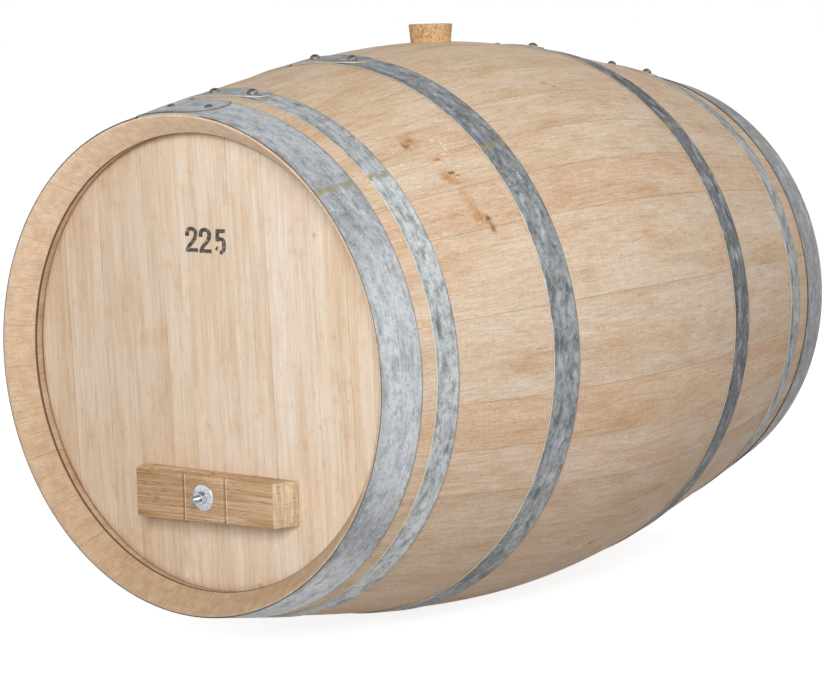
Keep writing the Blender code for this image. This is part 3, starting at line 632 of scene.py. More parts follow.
def head_boards(label, side, turn, tones):
    """Saw a round into boards at the joints that the frame has, and keep each board's own grain."""
    across, along = board_ways(turn)
    centre = Vector((0, 0, AXIS_HEIGHT))
    names = sorted(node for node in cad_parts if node.startswith(label + "_board"))
    joints = []
    for name in names[1:]:
        joints.append(min((vertex.co - centre).dot(across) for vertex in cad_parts[name].data.vertices))
    limits = [-BEYOND_RIM, *joints, BEYOND_RIM]
    rings = []
    for depth, radius in HEAD_LEVELS:
        turns = [math.tau * step / RIM_SIDES for step in range(RIM_SIDES)]
        rings.append([on_barrel(turn, radius, side * (HEAD_FACE - depth)) for turn in turns])
    woods = {}
    for number, name in enumerate(names):
        bm = skinned(rings)
        for limit, way in ((limits[number], -1), (limits[number + 1], 1)):
            if abs(limit) == BEYOND_RIM:
                continue
            # A second cut, just inside the joint, leaves a row of points that keeps its shade narrow
            for inset, sawn_off in ((SEAM, True), (2 * JOINT_SHADE, False)):
                sawn = bmesh.ops.bisect_plane(
                    bm,
                    geom=bm.verts[:] + bm.edges[:] + bm.faces[:],
                    plane_co=centre + across * (limit - way * inset),
                    plane_no=across * way,
                    clear_outer=sawn_off,
                )
                if sawn_off:
                    edges = [item for item in sawn["geom_cut"] if isinstance(item, bmesh.types.BMEdge)]
                    bmesh.ops.contextual_create(bm, geom=edges)
        draft = draft_from(bm)
        break_edges(draft, HEAD_ARRIS, 40)
        mesh = finished_mesh(draft)
        tone = linear(tones[number]) if tones else linear(oak_lots.choice(FRONT_TONES))
        lot = oak_lots.random()
        keep_board(mesh, places_on_head(mesh, side, across, along), limits[number:number + 2], lot, tone)
        fit_piece("oak_" + name, mesh, HEAD_OAK, "barrel", "head_oak", name)
        woods[name] = (lot, tone)
    return woods


FRONT_TURN = math.radians(-2)
BACK_TURN = math.radians(1)
front_woods = head_boards("front", -1, FRONT_TURN, FRONT_TONES)
head_boards("back", 1, BACK_TURN, None)


# Number on the head
# The barrel's volume in litres, rolled through a stencil with black ink. The ink lies on the bare oak and
# has worn thin where hands and chains rub it, so the grain shows through.

INK_THICKNESS = 0.00005
DIGIT_FOOT = 124.5  # height of the number's foot above the head's middle, in millimetres
# Strokes of a digit as runs of (x, height, thickness) in millimetres from its lower left corner
TWO_BOW = (
    (2.7, 17.6, 5.4), (2.7, 20.6, 5.4), (3.6, 24.0, 5.0), (6.6, 26.0, 4.0), (9.6, 26.1, 3.9),
    (13.0, 25.4, 4.2), (15.6, 22.6, 5.2), (15.8, 18.8, 5.4), (13.8, 14.6, 5.2), (9.6, 10.4, 4.6),
    (5.2, 6.6, 4.2), (3.2, 3.4, 4.4), (2.9, 1.6, 5.0),
)
DIGIT_TWO = (TWO_BOW, ((0.2, 1.95, 3.9), (18.5, 1.95, 3.9)))
FIVE_BOW = (
    (2.6, 15.6, 3.6), (5.4, 17.2, 3.8), (9.6, 17.4, 4.0), (12.8, 15.2, 5.0),
    (13.5, 10.6, 5.4), (12.9, 6.0, 5.2), (10.4, 2.7, 4.3), (6.6, 1.9, 3.9),
)
DIGIT_FIVE = (
    ((1.4, 26.05, 3.9), (15.6, 26.05, 3.9)),
    ((3.9, 26.5, 5.2), (3.4, 14.4, 5.2)),
    FIVE_BOW,
    ((1.2, 7.4, 4.2), (3.6, 5.4, 4.6)),
)
# Each digit with its place across and how far it stands above the line
DIGITS = ((DIGIT_TWO, -26.0, 0.9), (DIGIT_TWO, -5.6, 0.4), (DIGIT_FIVE, 18.4, -0.4))
INK_SPREAD = 0.5  # the ink runs this much wider than the stencil, in millimetres


def rounded_run(run, rounds=3):
    """The run with its corners cut again and again, so that it curves."""
    points = [Vector(point) for point in run]
    for _ in range(rounds if len(run) > 2 else 0):
        cut = [points[0]]
        for near, far in zip(points, points[1:]):
            cut += [near.lerp(far, 0.25), near.lerp(far, 0.75)]
        points = cut + [points[-1]]
    return points


def stroke_draft(run, left, rise):
    """One stroke as a flat slip of ink on the head's face."""
    points = rounded_run(run)
    sides = ([], [])
    for index, point in enumerate(points):
        ahead = points[min(index + 1, len(points) - 1)]
        behind = points[max(index - 1, 0)]
        run_way = Vector((ahead.x - behind.x, ahead.y - behind.y)).normalized()
        for side, sign in zip(sides, (-1, 1)):
            reach = sign * (point.z + INK_SPREAD) / 2
            x = point.x - run_way.y * reach
            height = point.y + run_way.x * reach + rise
            side.append(on_head(left + x, DIGIT_FOOT + height))
    bm = bmesh.new()
    swept_from(bm, sides[0] + sides[1][::-1], (0, -INK_THICKNESS, 0))
    return draft_from(bm)


stencil_ink = oak("worn_stencil_ink_on_oak", HEAD_GRAIN)
tree = stencil_ink.node_tree
shader = tree.nodes["Principled BSDF"]
bare_oak = shader.inputs["Base Color"].links[0].from_socket
spots = add_node(tree, "TexCoord").outputs["Object"]
wear = add_node(tree, "TexNoise", {"Vector": spots, "Scale": 190.0, "Detail": 4.0, "Roughness": 0.65})
between = {"Value": wear, "From Min": 0.68, "From Max": 0.5, "To Min": 0.45, "To Max": 0.96}
covered = add_node(tree, "MapRange", between)
inked = add_node(tree, "Mix", {0: covered, 6: bare_oak, 7: linear("#2c292a")}, data_type="RGBA")
feed(tree, shader, {"Base Color": inked})

ways = board_ways(FRONT_TURN)
for number, (strokes, left, rise) in enumerate(DIGITS, start=1):
    drafts = [stroke_draft(run, left, rise) for run in strokes]
    for stroke in drafts[1:]:
        joined = drafts[0].modifiers.new("stroke", "BOOLEAN")
        joined.operation = "UNION"
        joined.object = stroke
    mesh = finished_mesh(drafts[0])
    for stroke in drafts[1:]:
        bpy.data.objects.remove(stroke)
    keep_board(mesh, places_on_head(mesh, -1, *ways), (-1.0, 1.0), *front_woods["front_board_4"])
    fit_piece(f"stencilled_digit_{number}", mesh, stencil_ink, "barrel", "head_oak")


# Hoops
# Each hoop is a strip of hot-dip galvanised steel, rolled to the barrel's slant and driven towards its
# middle. Its ends overlap on top, where two rivets hold them; the outer end is cut to a tongue.

HOOP_THICKNESS = 0.0014
HOOP_EDGE = 0.0004  # the strip's edges are rounded by this much
LAP_REACH = 0.047
LAP_CLIMB = 0.007
TONGUE_LENGTH = 0.042
TONGUE_TIP = 0.3
TONGUE_ROUND = 0.006  # the tip is rounded off at its other side over this length
# How far each lap lies from the top, towards +X, the grey of its zinc, partly painted shade that makes some
# hoops darker than others, and where painted shade darkens it further:
# the middle and reach of the place in degrees, and the share of its light that is lost
LAPS = {
    "front_chime_hoop": (-0.006, "#d6d9dd", ((-4, 14, 0.2), (50, 30, 0.38), (126, 16, 0.35))),
    "front_quarter_hoop": (0.008, "#d0d3d4", ((-2, 12, 0.25), (38, 12, 0.15))),
    "front_bilge_hoop": (0.0065, "#a9acae", ((46, 34, 0.26), (142, 14, 0.3))),
    "back_bilge_hoop": (0.0, "#7e7f81", ((30, 20, 0.35), (138, 12, 0.3))),
    "back_quarter_hoop": (0.0535, "#bebec0", ((26, 24, 0.25), (134, 12, 0.4))),
    "back_chime_hoop": (-0.040, "#b1b0b2", ((34, 24, 0.2),)),
}
CHIME_DRIVE = 0.0017  # how much further than the plain solids the chime hoops are driven
CHIME_MOTTLE = 0.6  # the chime hoops are less mottled than the others
HOOP_GAP = 0.0001  # between a hoop and the staves, and between the two ends of its lap
RIVET_PITCH = 0.056
# Edge tones: pale rubbing with a painted highlight, a painted shade, and rust
EDGE_WORN_AND_HIGHLIT = linear("#ddd2bf")
EDGE_SHADED = linear("#4d4f50")
EDGE_RUSTY = linear("#77604e")
STRIP_STEP = 0.007
TONGUE_STEP = 0.001


def galvanised(name):
    """Hot-dip galvanised steel: blue-grey zinc with white bloom in patches, and streaks along the strip."""
    material, tree, shader, spots = new_material(name)
    place, colour, margins, edge, edge_tone = kept_values(
        tree, strip="Vector", tone="Color", margins="Vector", edge="Fac", edge_tone="Color"
    )
    margins = add_node(tree, "SeparateXYZ", {0: margins}).outputs
    mottled = margins["Z"]
    fade = {"Value": margins["X"], "From Max": 0.012, "To Min": 1.0, "To Max": 0.25}
    border = add_node(tree, "MapRange", fade)
    for layer in (
        # The dip leaves clouds, darker towards the edge where the zinc ran off
        ((90, 26, 20), (0.4, 0.6), "#b4b8b8", 0.7, 4.0, "MULTIPLY", border),
        ((30, 14, 20), (0.5, 0.66), "#a3a7a8", 0.8, 6.0, "MULTIPLY", mottled),
        ((8, 6, 9), (0.46, 0.68), "#c0c4c4", 0.85, 5.0, "MULTIPLY", mottled),
        ((3, 2.2, 3), (0.5, 0.72), "#c0c4c5", 0.6, 3.0),
        # White bloom between the clouds, and fine scratches along the strip
        ((24, 12, 12), (0.52, 0.7), "#dce1ec", 0.5, 5.0, "MIX"),
        ((2.4, 2.4, 3), (0.6, 0.74), "#f1f3f3", 0.45, 3.0, "MIX"),
        ((40, 1.2, 9), (0.57, 0.7), "#8b9092", 0.65, 3.0),
        ((5, 2, 4), (0.66, 0.74), "#5d6265", 0.65, 2.0),
    ):
        colour, shown = lay_grain(tree, place, colour, *layer)
    # Dust and shade lie along the edge towards the next hoop
    fade = {"Value": margins["Y"], "From Min": 0.0006, "From Max": 0.0018, "To Min": 0.75, "To Max": 0.0}
    rim = add_node(tree, "MapRange", fade)
    colour = add_node(tree, "Mix", {0: rim, 6: colour, 7: linear("#55585a")}, data_type="RGBA")
    # Where the tie of the coil lay, an olive stain crosses every hoop
    off_line = add_node(tree, "VectorMath", {0: spots, 1: (1, 0, -1)}, operation="DOT_PRODUCT")
    off_line = add_node(tree, "Math", {0: off_line, 1: AXIS_HEIGHT})
    off_line = add_node(tree, "Math", {0: off_line}, operation="ABSOLUTE")
    fade = {"Value": off_line, "From Min": 0.003, "From Max": 0.009, "To Min": 0.85, "To Max": 0.0}
    stain = add_node(tree, "MapRange", fade, interpolation_type="SMOOTHSTEP")
    blot = add_node(tree, "TexNoise", {"Vector": spots, "Scale": 130.0, "Detail": 3.0})
    blot = add_node(tree, "MapRange", {"Value": blot, "From Min": 0.3, "From Max": 0.55})
    stain = add_node(tree, "Math", {0: stain, 1: blot}, operation="MULTIPLY")
    colour = add_node(tree, "Mix", {0: stain, 6: colour, 7: linear("#9a936f")}, data_type="RGBA")
    # The sheared edges were dipped with the face. Some are rubbed pale and carry a painted highlight, the
    # chime hoops' are painted dark as painted shade
    colour = add_node(tree, "Mix", {0: edge, 6: colour, 7: edge_tone}, data_type="RGBA")
    rough = add_node(tree, "MapRange", {"Value": shown, "To Min": 0.62, "To Max": 0.8})
    bump = add_node(tree, "Bump", {"Height": shown, "Strength": 0.15, "Distance": 0.0003})
    feed(tree, shader, {"Base Color": colour, "Metallic": 0.5, "Roughness": rough, "Normal": bump})
    return material


HOOP_STEEL = galvanised("hot_dip_galvanised_strip")


def strip_radius(y, low, high):
    """Radius of the straight face of a strip between its edges, which rests on the crest of the staves."""
    share = (y - low) / (high - low)
    straight = outer_radius(low) * (1 - share) + outer_radius(high) * share
    middle = (low + high) / 2
    crest = outer_radius(middle) - (outer_radius(low) + outer_radius(high)) / 2
    return straight + crest + HOOP_GAP


RIVETED_AT = {"front_chime_hoop": 0.0}  # its rivets aren't in the middle of its lap
STRUCK = {"front_chime_hoop": (0.8, 0.8, 0.55)}  # these were hammered flat
rivet_places = []
for lot, (name, (lap_offset, zinc, dulled)) in enumerate(LAPS.items()):
    near_corner, far_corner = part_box(name)
    low, high = near_corner[1], far_corner[1]
    chime = "chime" in name
    if chime:
        # Driven right to the ends of the staves, past where the plain solid stops
        low, high = (low - CHIME_DRIVE, high) if high < 0 else (low, high + CHIME_DRIVE)
    middle_radius = outer_radius((low + high) / 2)
    round_length = math.tau * middle_radius
    body_end = round_length + LAP_REACH - TONGUE_LENGTH
    climb_start = round_length - LAP_REACH - LAP_CLIMB
    lengths = []
    for start, reach, steps in (
        (-LAP_REACH, body_end + LAP_REACH, math.ceil((body_end + LAP_REACH) / STRIP_STEP)),
        (body_end, TONGUE_LENGTH, round(TONGUE_LENGTH / TONGUE_STEP)),
        (climb_start, LAP_CLIMB, 8),
    ):
        lengths += [start + reach * step / steps for step in range(steps + (start != -LAP_REACH))]
    rings, strips, edges, margins, tones, edge_tones = [], [], [], [], [], []
    for length in sorted(lengths):
        angle = (length + lap_offset) / middle_radius
        climbed = min(1, max(0, (length - climb_start) / LAP_CLIMB))
        lift = climbed**2 * (3 - 2 * climbed) * (HOOP_THICKNESS + HOOP_GAP)
        # Painted shade: the strip's tone is darkened round each of its dulled places
        kept_light = 1.0
        for shade_middle, reach, lost in dulled:
            off = abs((math.degrees(angle) - shade_middle + 180) % 360 - 180)
            kept_light *= 1 - lost * math.cos(math.pi / 2 * min(1, off / reach)) ** 2
        tone = (*[part * kept_light for part in linear(zinc)[:3]], 1.0)
        share = 1.0
        rounded = 0.0
        if length > body_end:
            along = (length - body_end) / TONGUE_LENGTH
            share = TONGUE_TIP + (1 - TONGUE_TIP) * math.sqrt(max(0, 1 - along**2))
            to_tip = max(0, 1 - (body_end + TONGUE_LENGTH - length) / TONGUE_ROUND)
            rounded = (high - low) * TONGUE_TIP * 0.6 * to_tip**2
        if high < 0:
            narrow_low, narrow_high = high - (high - low) * share, high - rounded
        else:
            narrow_low, narrow_high = low + rounded, low + (high - low) * share
        # Painted highlight on most edges, painted shade on the chime hoops' edges, rust on their tongues
        if not chime:
            edge_tone = EDGE_WORN_AND_HIGHLIT
        elif length > body_end:
            edge_tone = EDGE_RUSTY
        else:
            edge_tone = EDGE_WORN_AND_HIGHLIT if length < LAP_REACH else EDGE_SHADED
        ring = []
        for y, layer in (
            (narrow_low + HOOP_EDGE, 0),
            (narrow_high - HOOP_EDGE, 0),
            (narrow_high, HOOP_EDGE),
            (narrow_high, HOOP_THICKNESS - HOOP_EDGE),
            (narrow_high - HOOP_EDGE, HOOP_THICKNESS),
            (narrow_low + HOOP_EDGE, HOOP_THICKNESS),
            (narrow_low, HOOP_THICKNESS - HOOP_EDGE),
            (narrow_low, HOOP_EDGE),
        ):
            ring.append(on_barrel(angle, strip_radius(y, low, high) + lift + layer, y))
            strips.append((length, y, layer + lot * 0.3))
            edges.append(float(y in (narrow_low, narrow_high)))
            margins.append((y - narrow_low, narrow_high - y, CHIME_MOTTLE if chime else 1.0))
            tones.append(tone)
            edge_tones.append(edge_tone)
        rings.append(ring)
    mesh = finished_mesh(draft_from(skinned(rings)), 30)
    keep_on_points(mesh, strip=strips, edge=edges, margins=margins, tone=tones, edge_tone=edge_tones)
    fit_piece("steel_" + name, mesh, HOOP_STEEL, "barrel", "hoop_steel", name)
    for along in (-RIVET_PITCH / 2, RIVET_PITCH / 2):
        angle = (RIVETED_AT.get(name, lap_offset) + along) / middle_radius
        y = (low + high) / 2
        slant = math.atan2(strip_radius(low, low, high) - strip_radius(high, low, high), high - low)
        outward = Matrix.Rotation(angle, 3, "Y") @ Vector((0, math.sin(slant), math.cos(slant)))
        seat = on_barrel(angle, strip_radius(y, low, high) + 2 * HOOP_THICKNESS + HOOP_GAP, y)
        rivet_places.append((seat, tuple(outward), STRUCK.get(name, (1.0, 1.0, 1.0))))


# Rivets
# Two round-headed steel rivets close each hoop's lap. They are driven cold, so no two heads are quite alike,
# and the hammer leaves them rubbed darker than the strip.


def circle(radius, height, sides):
    """Points round Z at a height, or the one point on the axis."""
    turns = [math.tau * step / sides for step in range(sides)] if radius else [0.0]
    return [(radius * math.cos(turn), radius * math.sin(turn), height) for turn in turns]


RIVET_RADIUS = 0.00625
RIVET_HEIGHT = 0.005
RIVET_SEAT = 0.0008  # the head is driven into the strip by this much
SHANK_RADIUS = 0.003
SHANK_FOOT = -0.0035
dome = [(0.0, RIVET_HEIGHT)]
for degrees in range(15, 91, 15):
    slope = math.radians(degrees)
    dome.append((RIVET_RADIUS * math.sin(slope), RIVET_HEIGHT * math.cos(slope)))
dome += [(RIVET_RADIUS * 0.98, -RIVET_SEAT), (SHANK_RADIUS, -RIVET_SEAT)]
dome += [(SHANK_RADIUS, SHANK_FOOT), (0.0, SHANK_FOOT)]
rivet = draft_from(skinned([circle(radius, height, 24) for radius, height in dome]))
rivet.data.shade_smooth()


def clouded(name, tone, clouds, size_mm, cut, amount, **looks):
    """A smooth material of one tone with faint clouds of another."""
    material, tree, shader, spots = new_material(name)
    colour, _ = lay_grain(tree, spots, linear(tone), [size_mm] * 3, cut, clouds, amount, blend="MIX")
    feed(tree, shader, {"Base Color": colour, **looks})
    return material


rivet_steel = clouded(
    "hammered_rivet_steel", "#6b645c", "#938f8a", 4, (0.4, 0.65), 0.7, Metallic=0.85, Roughness=0.5
)
riveted, given = new_tree(
    "riveted_laps", {"Seats": "Geometry", "Rivet": "Object", "Seed": "Int", "Steel": "Material"}
)
square, struck = (
    add_node(riveted, "GeometryNodeInputNamedAttribute", {"Name": label}, data_type="FLOAT_VECTOR")
    for label in ("outward", "struck")
)
tilt = add_node(riveted, "FunctionNodeAlignRotationToVector", {"Vector": square}, axis="Z")
limits = {"Min": (0.92, 0.92, 0.85), "Max": (1.04, 1.04, 1.1), "Seed": given["Seed"]}
size = add_node(riveted, "FunctionNodeRandomValue", limits, data_type="FLOAT_VECTOR")
size = add_node(riveted, "VectorMath", {0: size, 1: struck}, operation="MULTIPLY")
head = add_node(riveted, "GeometryNodeObjectInfo", {"Object": given["Rivet"]}).outputs["Geometry"]
driven = {"Points": given["Seats"], "Instance": head, "Rotation": tilt, "Scale": size}
close_tree(riveted, add_node(riveted, "GeometryNodeInstanceOnPoints", driven), given["Steel"])

seats = bpy.data.meshes.new("rivet_seats")
seats.from_pydata([seat for seat, _, _ in rivet_places], [], [])
ways, sizes = ([place[part] for place in rivet_places] for part in (1, 2))
keep_on_points(seats, outward=ways, struck=sizes)
draft = place_object("rivet_seats", seats)
laps = draft.modifiers.new("rivets", "NODES")
laps.node_group = riveted
set_inputs(laps, Rivet=rivet, Seed=7, Steel=rivet_steel)
fit_piece("hoop_rivets", finished_mesh(draft, 50), rivet_steel, "barrel", "hoop_steel", *LAPS)
bpy.data.objects.remove(rivet)


# Bung
# The bung is a taper of agglomerated cork: granules of 1 to 4 mm pressed with a binder and turned to size.
# It is pushed into the tapered hole by hand and leaves 21 mm to pull it by.

near_corner, far_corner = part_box("bung")
BUNG_TOP = far_corner[2]
BUNG_FOOT = near_corner[2]
BUNG_HEAD_RADIUS = far_corner[0]
BUNG_TAPER = 0.10
BUNG_CHAMFER = 0.0012
BUNG_SIDES = 160
BUNG_RINGS = 70
GRANULE = 0.0032
GRANULE_SEAM = 0.00012  # how deep the seams between the granules are
CORK_PIT = 0.0024  # size of the pits where a granule broke out
CORK_PIT_DEPTH = 0.0009
BUNG_CAP_RINGS = 22
CORK_COLLAR = 0.017  # below this height the cork sits in its hole and stays smooth

bung_height = BUNG_TOP - BUNG_FOOT
profile = [(0.0, bung_height)]
for step in range(1, BUNG_CAP_RINGS + 1):
    profile.append(((BUNG_HEAD_RADIUS - BUNG_CHAMFER) * step / BUNG_CAP_RINGS, bung_height))
for step in range(BUNG_RINGS + 1):
    height = (bung_height - BUNG_CHAMFER) * (1 - step / BUNG_RINGS)
    profile.append((BUNG_HEAD_RADIUS - BUNG_TAPER * (bung_height - height), height))
profile += [(profile[-1][0] * (1 - step / 4), 0.0) for step in range(1, 4)] + [(0.0, 0.0)]
bung = draft_from(skinned([circle(radius, height, BUNG_SIDES) for radius, height in profile]))
for vertex in bung.data.vertices:
    radius = math.hypot(vertex.co.x, vertex.co.y)
    distances, _ = noise.voronoi(vertex.co / GRANULE)
    seam = max(0, 1 - (distances[1] - distances[0]) * 4)
    pit = max(0, noise.noise(vertex.co / CORK_PIT + Vector((5, 3, 1))) - 0.28) * 2.4
    sunk = GRANULE_SEAM * seam + CORK_PIT_DEPTH * pit if vertex.co.z >= CORK_COLLAR else 0.0
    if vertex.co.z > bung_height - 0.0003:
        vertex.co.z -= sunk
    elif radius > 0.001:
        vertex.co -= Vector((vertex.co.x, vertex.co.y, 0)) / radius * sunk
bung.data.transform(Matrix.Translation((0, 0, BUNG_FOOT)))

cork, tree, shader, spots = new_material("agglomerated_cork")
granules = add_node(tree, "TexVoronoi", {"Vector": spots, "Scale": 1 / GRANULE, "Randomness": 1.0})
grey = add_node(tree, "SeparateColor", {0: granules.outputs["Color"]})
mix = {0: grey, 6: linear("#c99a6c"), 7: linear("#e3bf93")}
colour = add_node(tree, "Mix", mix, data_type="RGBA")
for size_mm, cut, tint, amount in (
    ((2.4, 2.4, 2.4), (0.59, 0.64), "#7d4f2c", 0.9),
    ((0.8, 0.8, 0.8), (0.5, 0.8), "#a87a4e", 0.5),
    ((4, 4, 4), (0.55, 0.7), "#e9cba3", 0.5),
):
    colour, shown = lay_grain(tree, spots, colour, size_mm, cut, tint, amount, blend="MIX")
bump = add_node(tree, "Bump", {"Height": shown, "Strength": 0.4, "Distance": 0.0004})
feed(tree, shader, {"Base Color": colour, "Roughness": 0.85, "Normal": bump})
fit_piece("cork_bung", finished_mesh(bung, 35), cork, "stopper", "cork", "bung")


# Bar
# A short bar of rough-sawn oak lies across the lower part of the near head, with its ends cut away to a
# slant and two saw marks in its face. One bolt through the bar and the head holds it.

near_corner, far_corner = (Vector(corner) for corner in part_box("head_bar"))
BAR_END_RUN = 0.014
BAR_END_LAND = 0.004
SAW_MARKS = (-0.031, 0.031)
SAW_MARK_WIDTH = 0.006
SAW_MARK_DEPTH = 0.004
BOLT_WAY_RADIUS = 0.0043
HIGHLIT_STRIP_WIDTH = 0.0014  # width of the pale strip beside each mark, a painted highlight on its arris
BAR_TAPER = 0.006  # the bar was sawn this much taller at its left end
BAR_ARRIS = 0.0007
# Painted shade in the saw marks' grooves, a painted highlight beside them, and painted light on the bar's
# top face
BAR_GROOVE_SHADE = linear("#a88961")
BAR_EDGE_HIGHLIGHT = linear("#fff1d6")
BAR_SAWN = linear("#d6ba97")
BAR_TOP_PAINTED_LIGHT = linear("#ecd5b4")
bar_middle = (near_corner + far_corner) / 2
bar_half = (far_corner.x - near_corner.x) / 2
bar_height = far_corner.z - near_corner.z
land = far_corner.y - BAR_END_LAND
outline = [(-bar_half, far_corner.y), (-bar_half, land), (BAR_END_RUN - bar_half, near_corner.y)]
for mark in SAW_MARKS:
    side = mark + SAW_MARK_WIDTH / 2
    outline += [(mark - SAW_MARK_WIDTH / 2, near_corner.y), (mark, near_corner.y + SAW_MARK_DEPTH)]
    outline += [(side + off, near_corner.y) for off in (0.0, HIGHLIT_STRIP_WIDTH - 0.0002, HIGHLIT_STRIP_WIDTH + 0.0008)]
outline += [(bar_half - BAR_END_RUN, near_corner.y), (bar_half, land), (bar_half, far_corner.y)]
bm = bmesh.new()
corners = [(bar_middle.x + x, y, near_corner.z) for x, y in outline]
underside = swept_from(bm, corners, (0, 0, bar_height))
for corner in underside.verts:
    corner.co.z -= BAR_TAPER * (bar_middle.x + bar_half - corner.co.x) / (2 * bar_half)
draft = draft_from(bm)
bolt_way = bmesh.new()
to_front = Matrix.Rotation(math.pi / 2, 4, "X")
bmesh.ops.create_cone(
    bolt_way,
    cap_ends=True,
    segments=48,
    radius1=BOLT_WAY_RADIUS,
    radius2=BOLT_WAY_RADIUS,
    depth=0.1,
    matrix=Matrix.Translation(bar_middle) @ to_front,
)
way = draft_from(bolt_way)
draft.modifiers.new("bolt_way", "BOOLEAN").object = way
break_edges(draft, BAR_ARRIS, 20)
mesh = finished_mesh(draft)
bpy.data.objects.remove(way)
BAR_GRAIN = (
    ((1.5, 120, 12), (0.35, 0.7), "#b08a5c", 0.6, 3.0),
    ((5, 160, 30), (0.4, 0.7), "#c9a87c", 0.6),
    ((14, 120, 60), (0.4, 0.65), "#d9bd96", 0.5),
    ((0.8, 9, 5), (0.56, 0.7), "#7c5833", 0.6),
)
BAR_MARKS = ((bar_middle + Vector((-0.070, -0.015, -0.007)), 6, 4, "#8f6a42", 0.5, 0.7),)
# Its growth rings stand up and down at the ends, crossed by darker rays
BAR_END_GRAIN = (
    ((30, 60, 2.6), (0.46, 0.58), "#ba9d76", 0.65),
    ((26, 60, 1.7), (0.5, 0.62), "#e8d7bb", 0.65),
    ((1.1, 60, 7), (0.58, 0.66), "#95764f", 0.6),
    ((9, 60, 30), (0.55, 0.7), "#ad8f68", 0.4),
)
BAR_OAK = oak(
    "rough_sawn_bar_oak",
    BAR_GRAIN,
    BAR_MARKS,
    end_from=bar_half - BAR_END_RUN + 0.0005,
    end_tone="#cfb797",
    end_layers=BAR_END_GRAIN,
    roughness=0.7,
)
places = []
tones = []
for vertex in mesh.vertices:
    spot = vertex.co - bar_middle
    places.append((spot.z, spot.x, near_corner.y - vertex.co.y))
    off_mark = min((spot.x - mark for mark in SAW_MARKS), key=abs)
    tone = BAR_SAWN
    # Painted light on the top face, painted shade in the grooves and a painted highlight beside them
    if spot.z > bar_height / 2 - 0.0001:
        tone = BAR_TOP_PAINTED_LIGHT
    elif abs(off_mark) < SAW_MARK_WIDTH * 0.35:
        tone = BAR_GROOVE_SHADE
    elif 0 < off_mark < SAW_MARK_WIDTH / 2 + HIGHLIT_STRIP_WIDTH:
        tone = BAR_EDGE_HIGHLIGHT
    tones.append(tone)
keep_board(mesh, places, (-1.0, 1.0), 0.37, tones)
fit_piece("oak_head_bar", mesh, BAR_OAK, "barrel", "bar_oak", "head_bar")


# Bolt, washer, nut and seal
# An M8 bolt of zinc-plated steel goes through head and bar from the inside, with a rubber seal under its
# head. Outside it carries a dished washer and a hexagon nut, and its thread stands out past the nut.

PITCH = 0.00125
THREAD_DEPTH = 0.0007
BOLT_RADIUS = 0.00395
THREAD_SIDES = 40
THREAD_ROWS_A_TURN = 10
THREADED = 0.030  # length of the thread
THREAD_RUNOUT = 0.002  # the thread fades out over this length
BOLT_POINT = 0.0012  # length of the taper at the bolt's end
# The bolt's head inside the barrel, as its radius and how far short of the bolt's whole length it lies
BOLT_HEAD = ((BOLT_RADIUS, 0.0052), (0.0098, 0.005), (0.0098, 0.004), (0.007, 0.0012), (0.003, 0.0002))
WASHER_SIDES = 64
WASHER_SHEET = 0.0013
# The washer's dished face, as shares of its radius and its thickness
WASHER_FACE = ((1.0, 0.08), (0.985, 0.2), (0.95, 0.3), (0.8, 0.56), (0.65, 0.8), (0.57, 0.92), (0.5, 0.98))
WASHER_BORE = 0.0043
WASHER_FLAT = 0.45  # the middle of the dish is flat up to this share of the radius
WASHER_RIM = 0.0008  # width of the rim that the washer stands on
NUT_SIDES = 72
NUT_BORE = 0.0042
NUT_APOTHEM = 0.0065
NUT_FACE = NUT_APOTHEM * 0.97  # the corners are turned off outside this radius

ZINC, THREAD_ZINC = (
    clouded(name, tone, clouds, 3, (0.4, 0.7), 0.6, Metallic=1.0, Roughness=roughness)
    for name, tone, clouds, roughness in (
        ("bright_zinc_plate", "#dde1e6", "#a4a9af", 0.26),
        ("dulled_zinc_thread", "#a9acb0", "#6f7275", 0.34),
    )
)
near_corner, far_corner = (Vector(corner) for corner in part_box("bar_bolt"))
bolt_line = (near_corner + far_corner) / 2
bolt_length = far_corner.y - near_corner.y


def on_bolt(rings, y, closed=False):
    """Draw rings of points round Z along the bolt's line instead, from a place on it towards the viewer."""
    draft = draft_from(skinned(rings, closed))
    draft.data.transform(Matrix.Translation((bolt_line.x, y, bolt_line.z)) @ to_front)
    return draft


rings = []
rows = round(THREADED / PITCH * THREAD_ROWS_A_TURN)
for row in range(rows + 1):
    height = THREADED * row / rows
    ring = []
    for step in range(THREAD_SIDES):
        turn = step / THREAD_SIDES
        phase = (height / PITCH - turn) % 1.0
        ridge = 1 - abs(2 * phase - 1)
        crest = min(1.0, max(0.0, ridge * 1.25 - 0.125))
        near_tip = max(0.0, 1 - height / BOLT_POINT)
        cut_in = (1 - crest) * min(1, (THREADED - height) / THREAD_RUNOUT) + near_tip
        radius = BOLT_RADIUS - THREAD_DEPTH * cut_in
        ring.append((radius * math.cos(math.tau * turn), radius * math.sin(math.tau * turn), -height))
    rings.append(ring)
rings += [circle(radius, short - bolt_length, THREAD_SIDES) for radius, short in BOLT_HEAD]
mesh = finished_mesh(on_bolt(rings, near_corner.y), 40)
fit_piece("zinc_bolt", mesh, THREAD_ZINC, "barrel", "zinc_steel", "bar_bolt")

near_corner, far_corner = (Vector(corner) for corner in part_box("bar_washer"))
washer_radius = (far_corner.x - near_corner.x) / 2
washer_thickness = far_corner.y - near_corner.y
dish = washer_thickness - WASHER_SHEET
profile = [(WASHER_BORE, dish), (washer_radius * WASHER_FLAT, dish)]
profile += [(washer_radius - WASHER_RIM, 0), (washer_radius - WASHER_RIM / 4, WASHER_RIM / 8)]
profile += [(washer_radius * share, washer_thickness * rise) for share, rise in WASHER_FACE]
profile.append((WASHER_BORE, washer_thickness))
rings = [circle(radius, height, WASHER_SIDES) for radius, height in profile]
mesh = finished_mesh(on_bolt(rings, far_corner.y, closed=True), 30)
fit_piece("dished_washer", mesh, ZINC, "washer", "zinc_steel", "bar_washer")

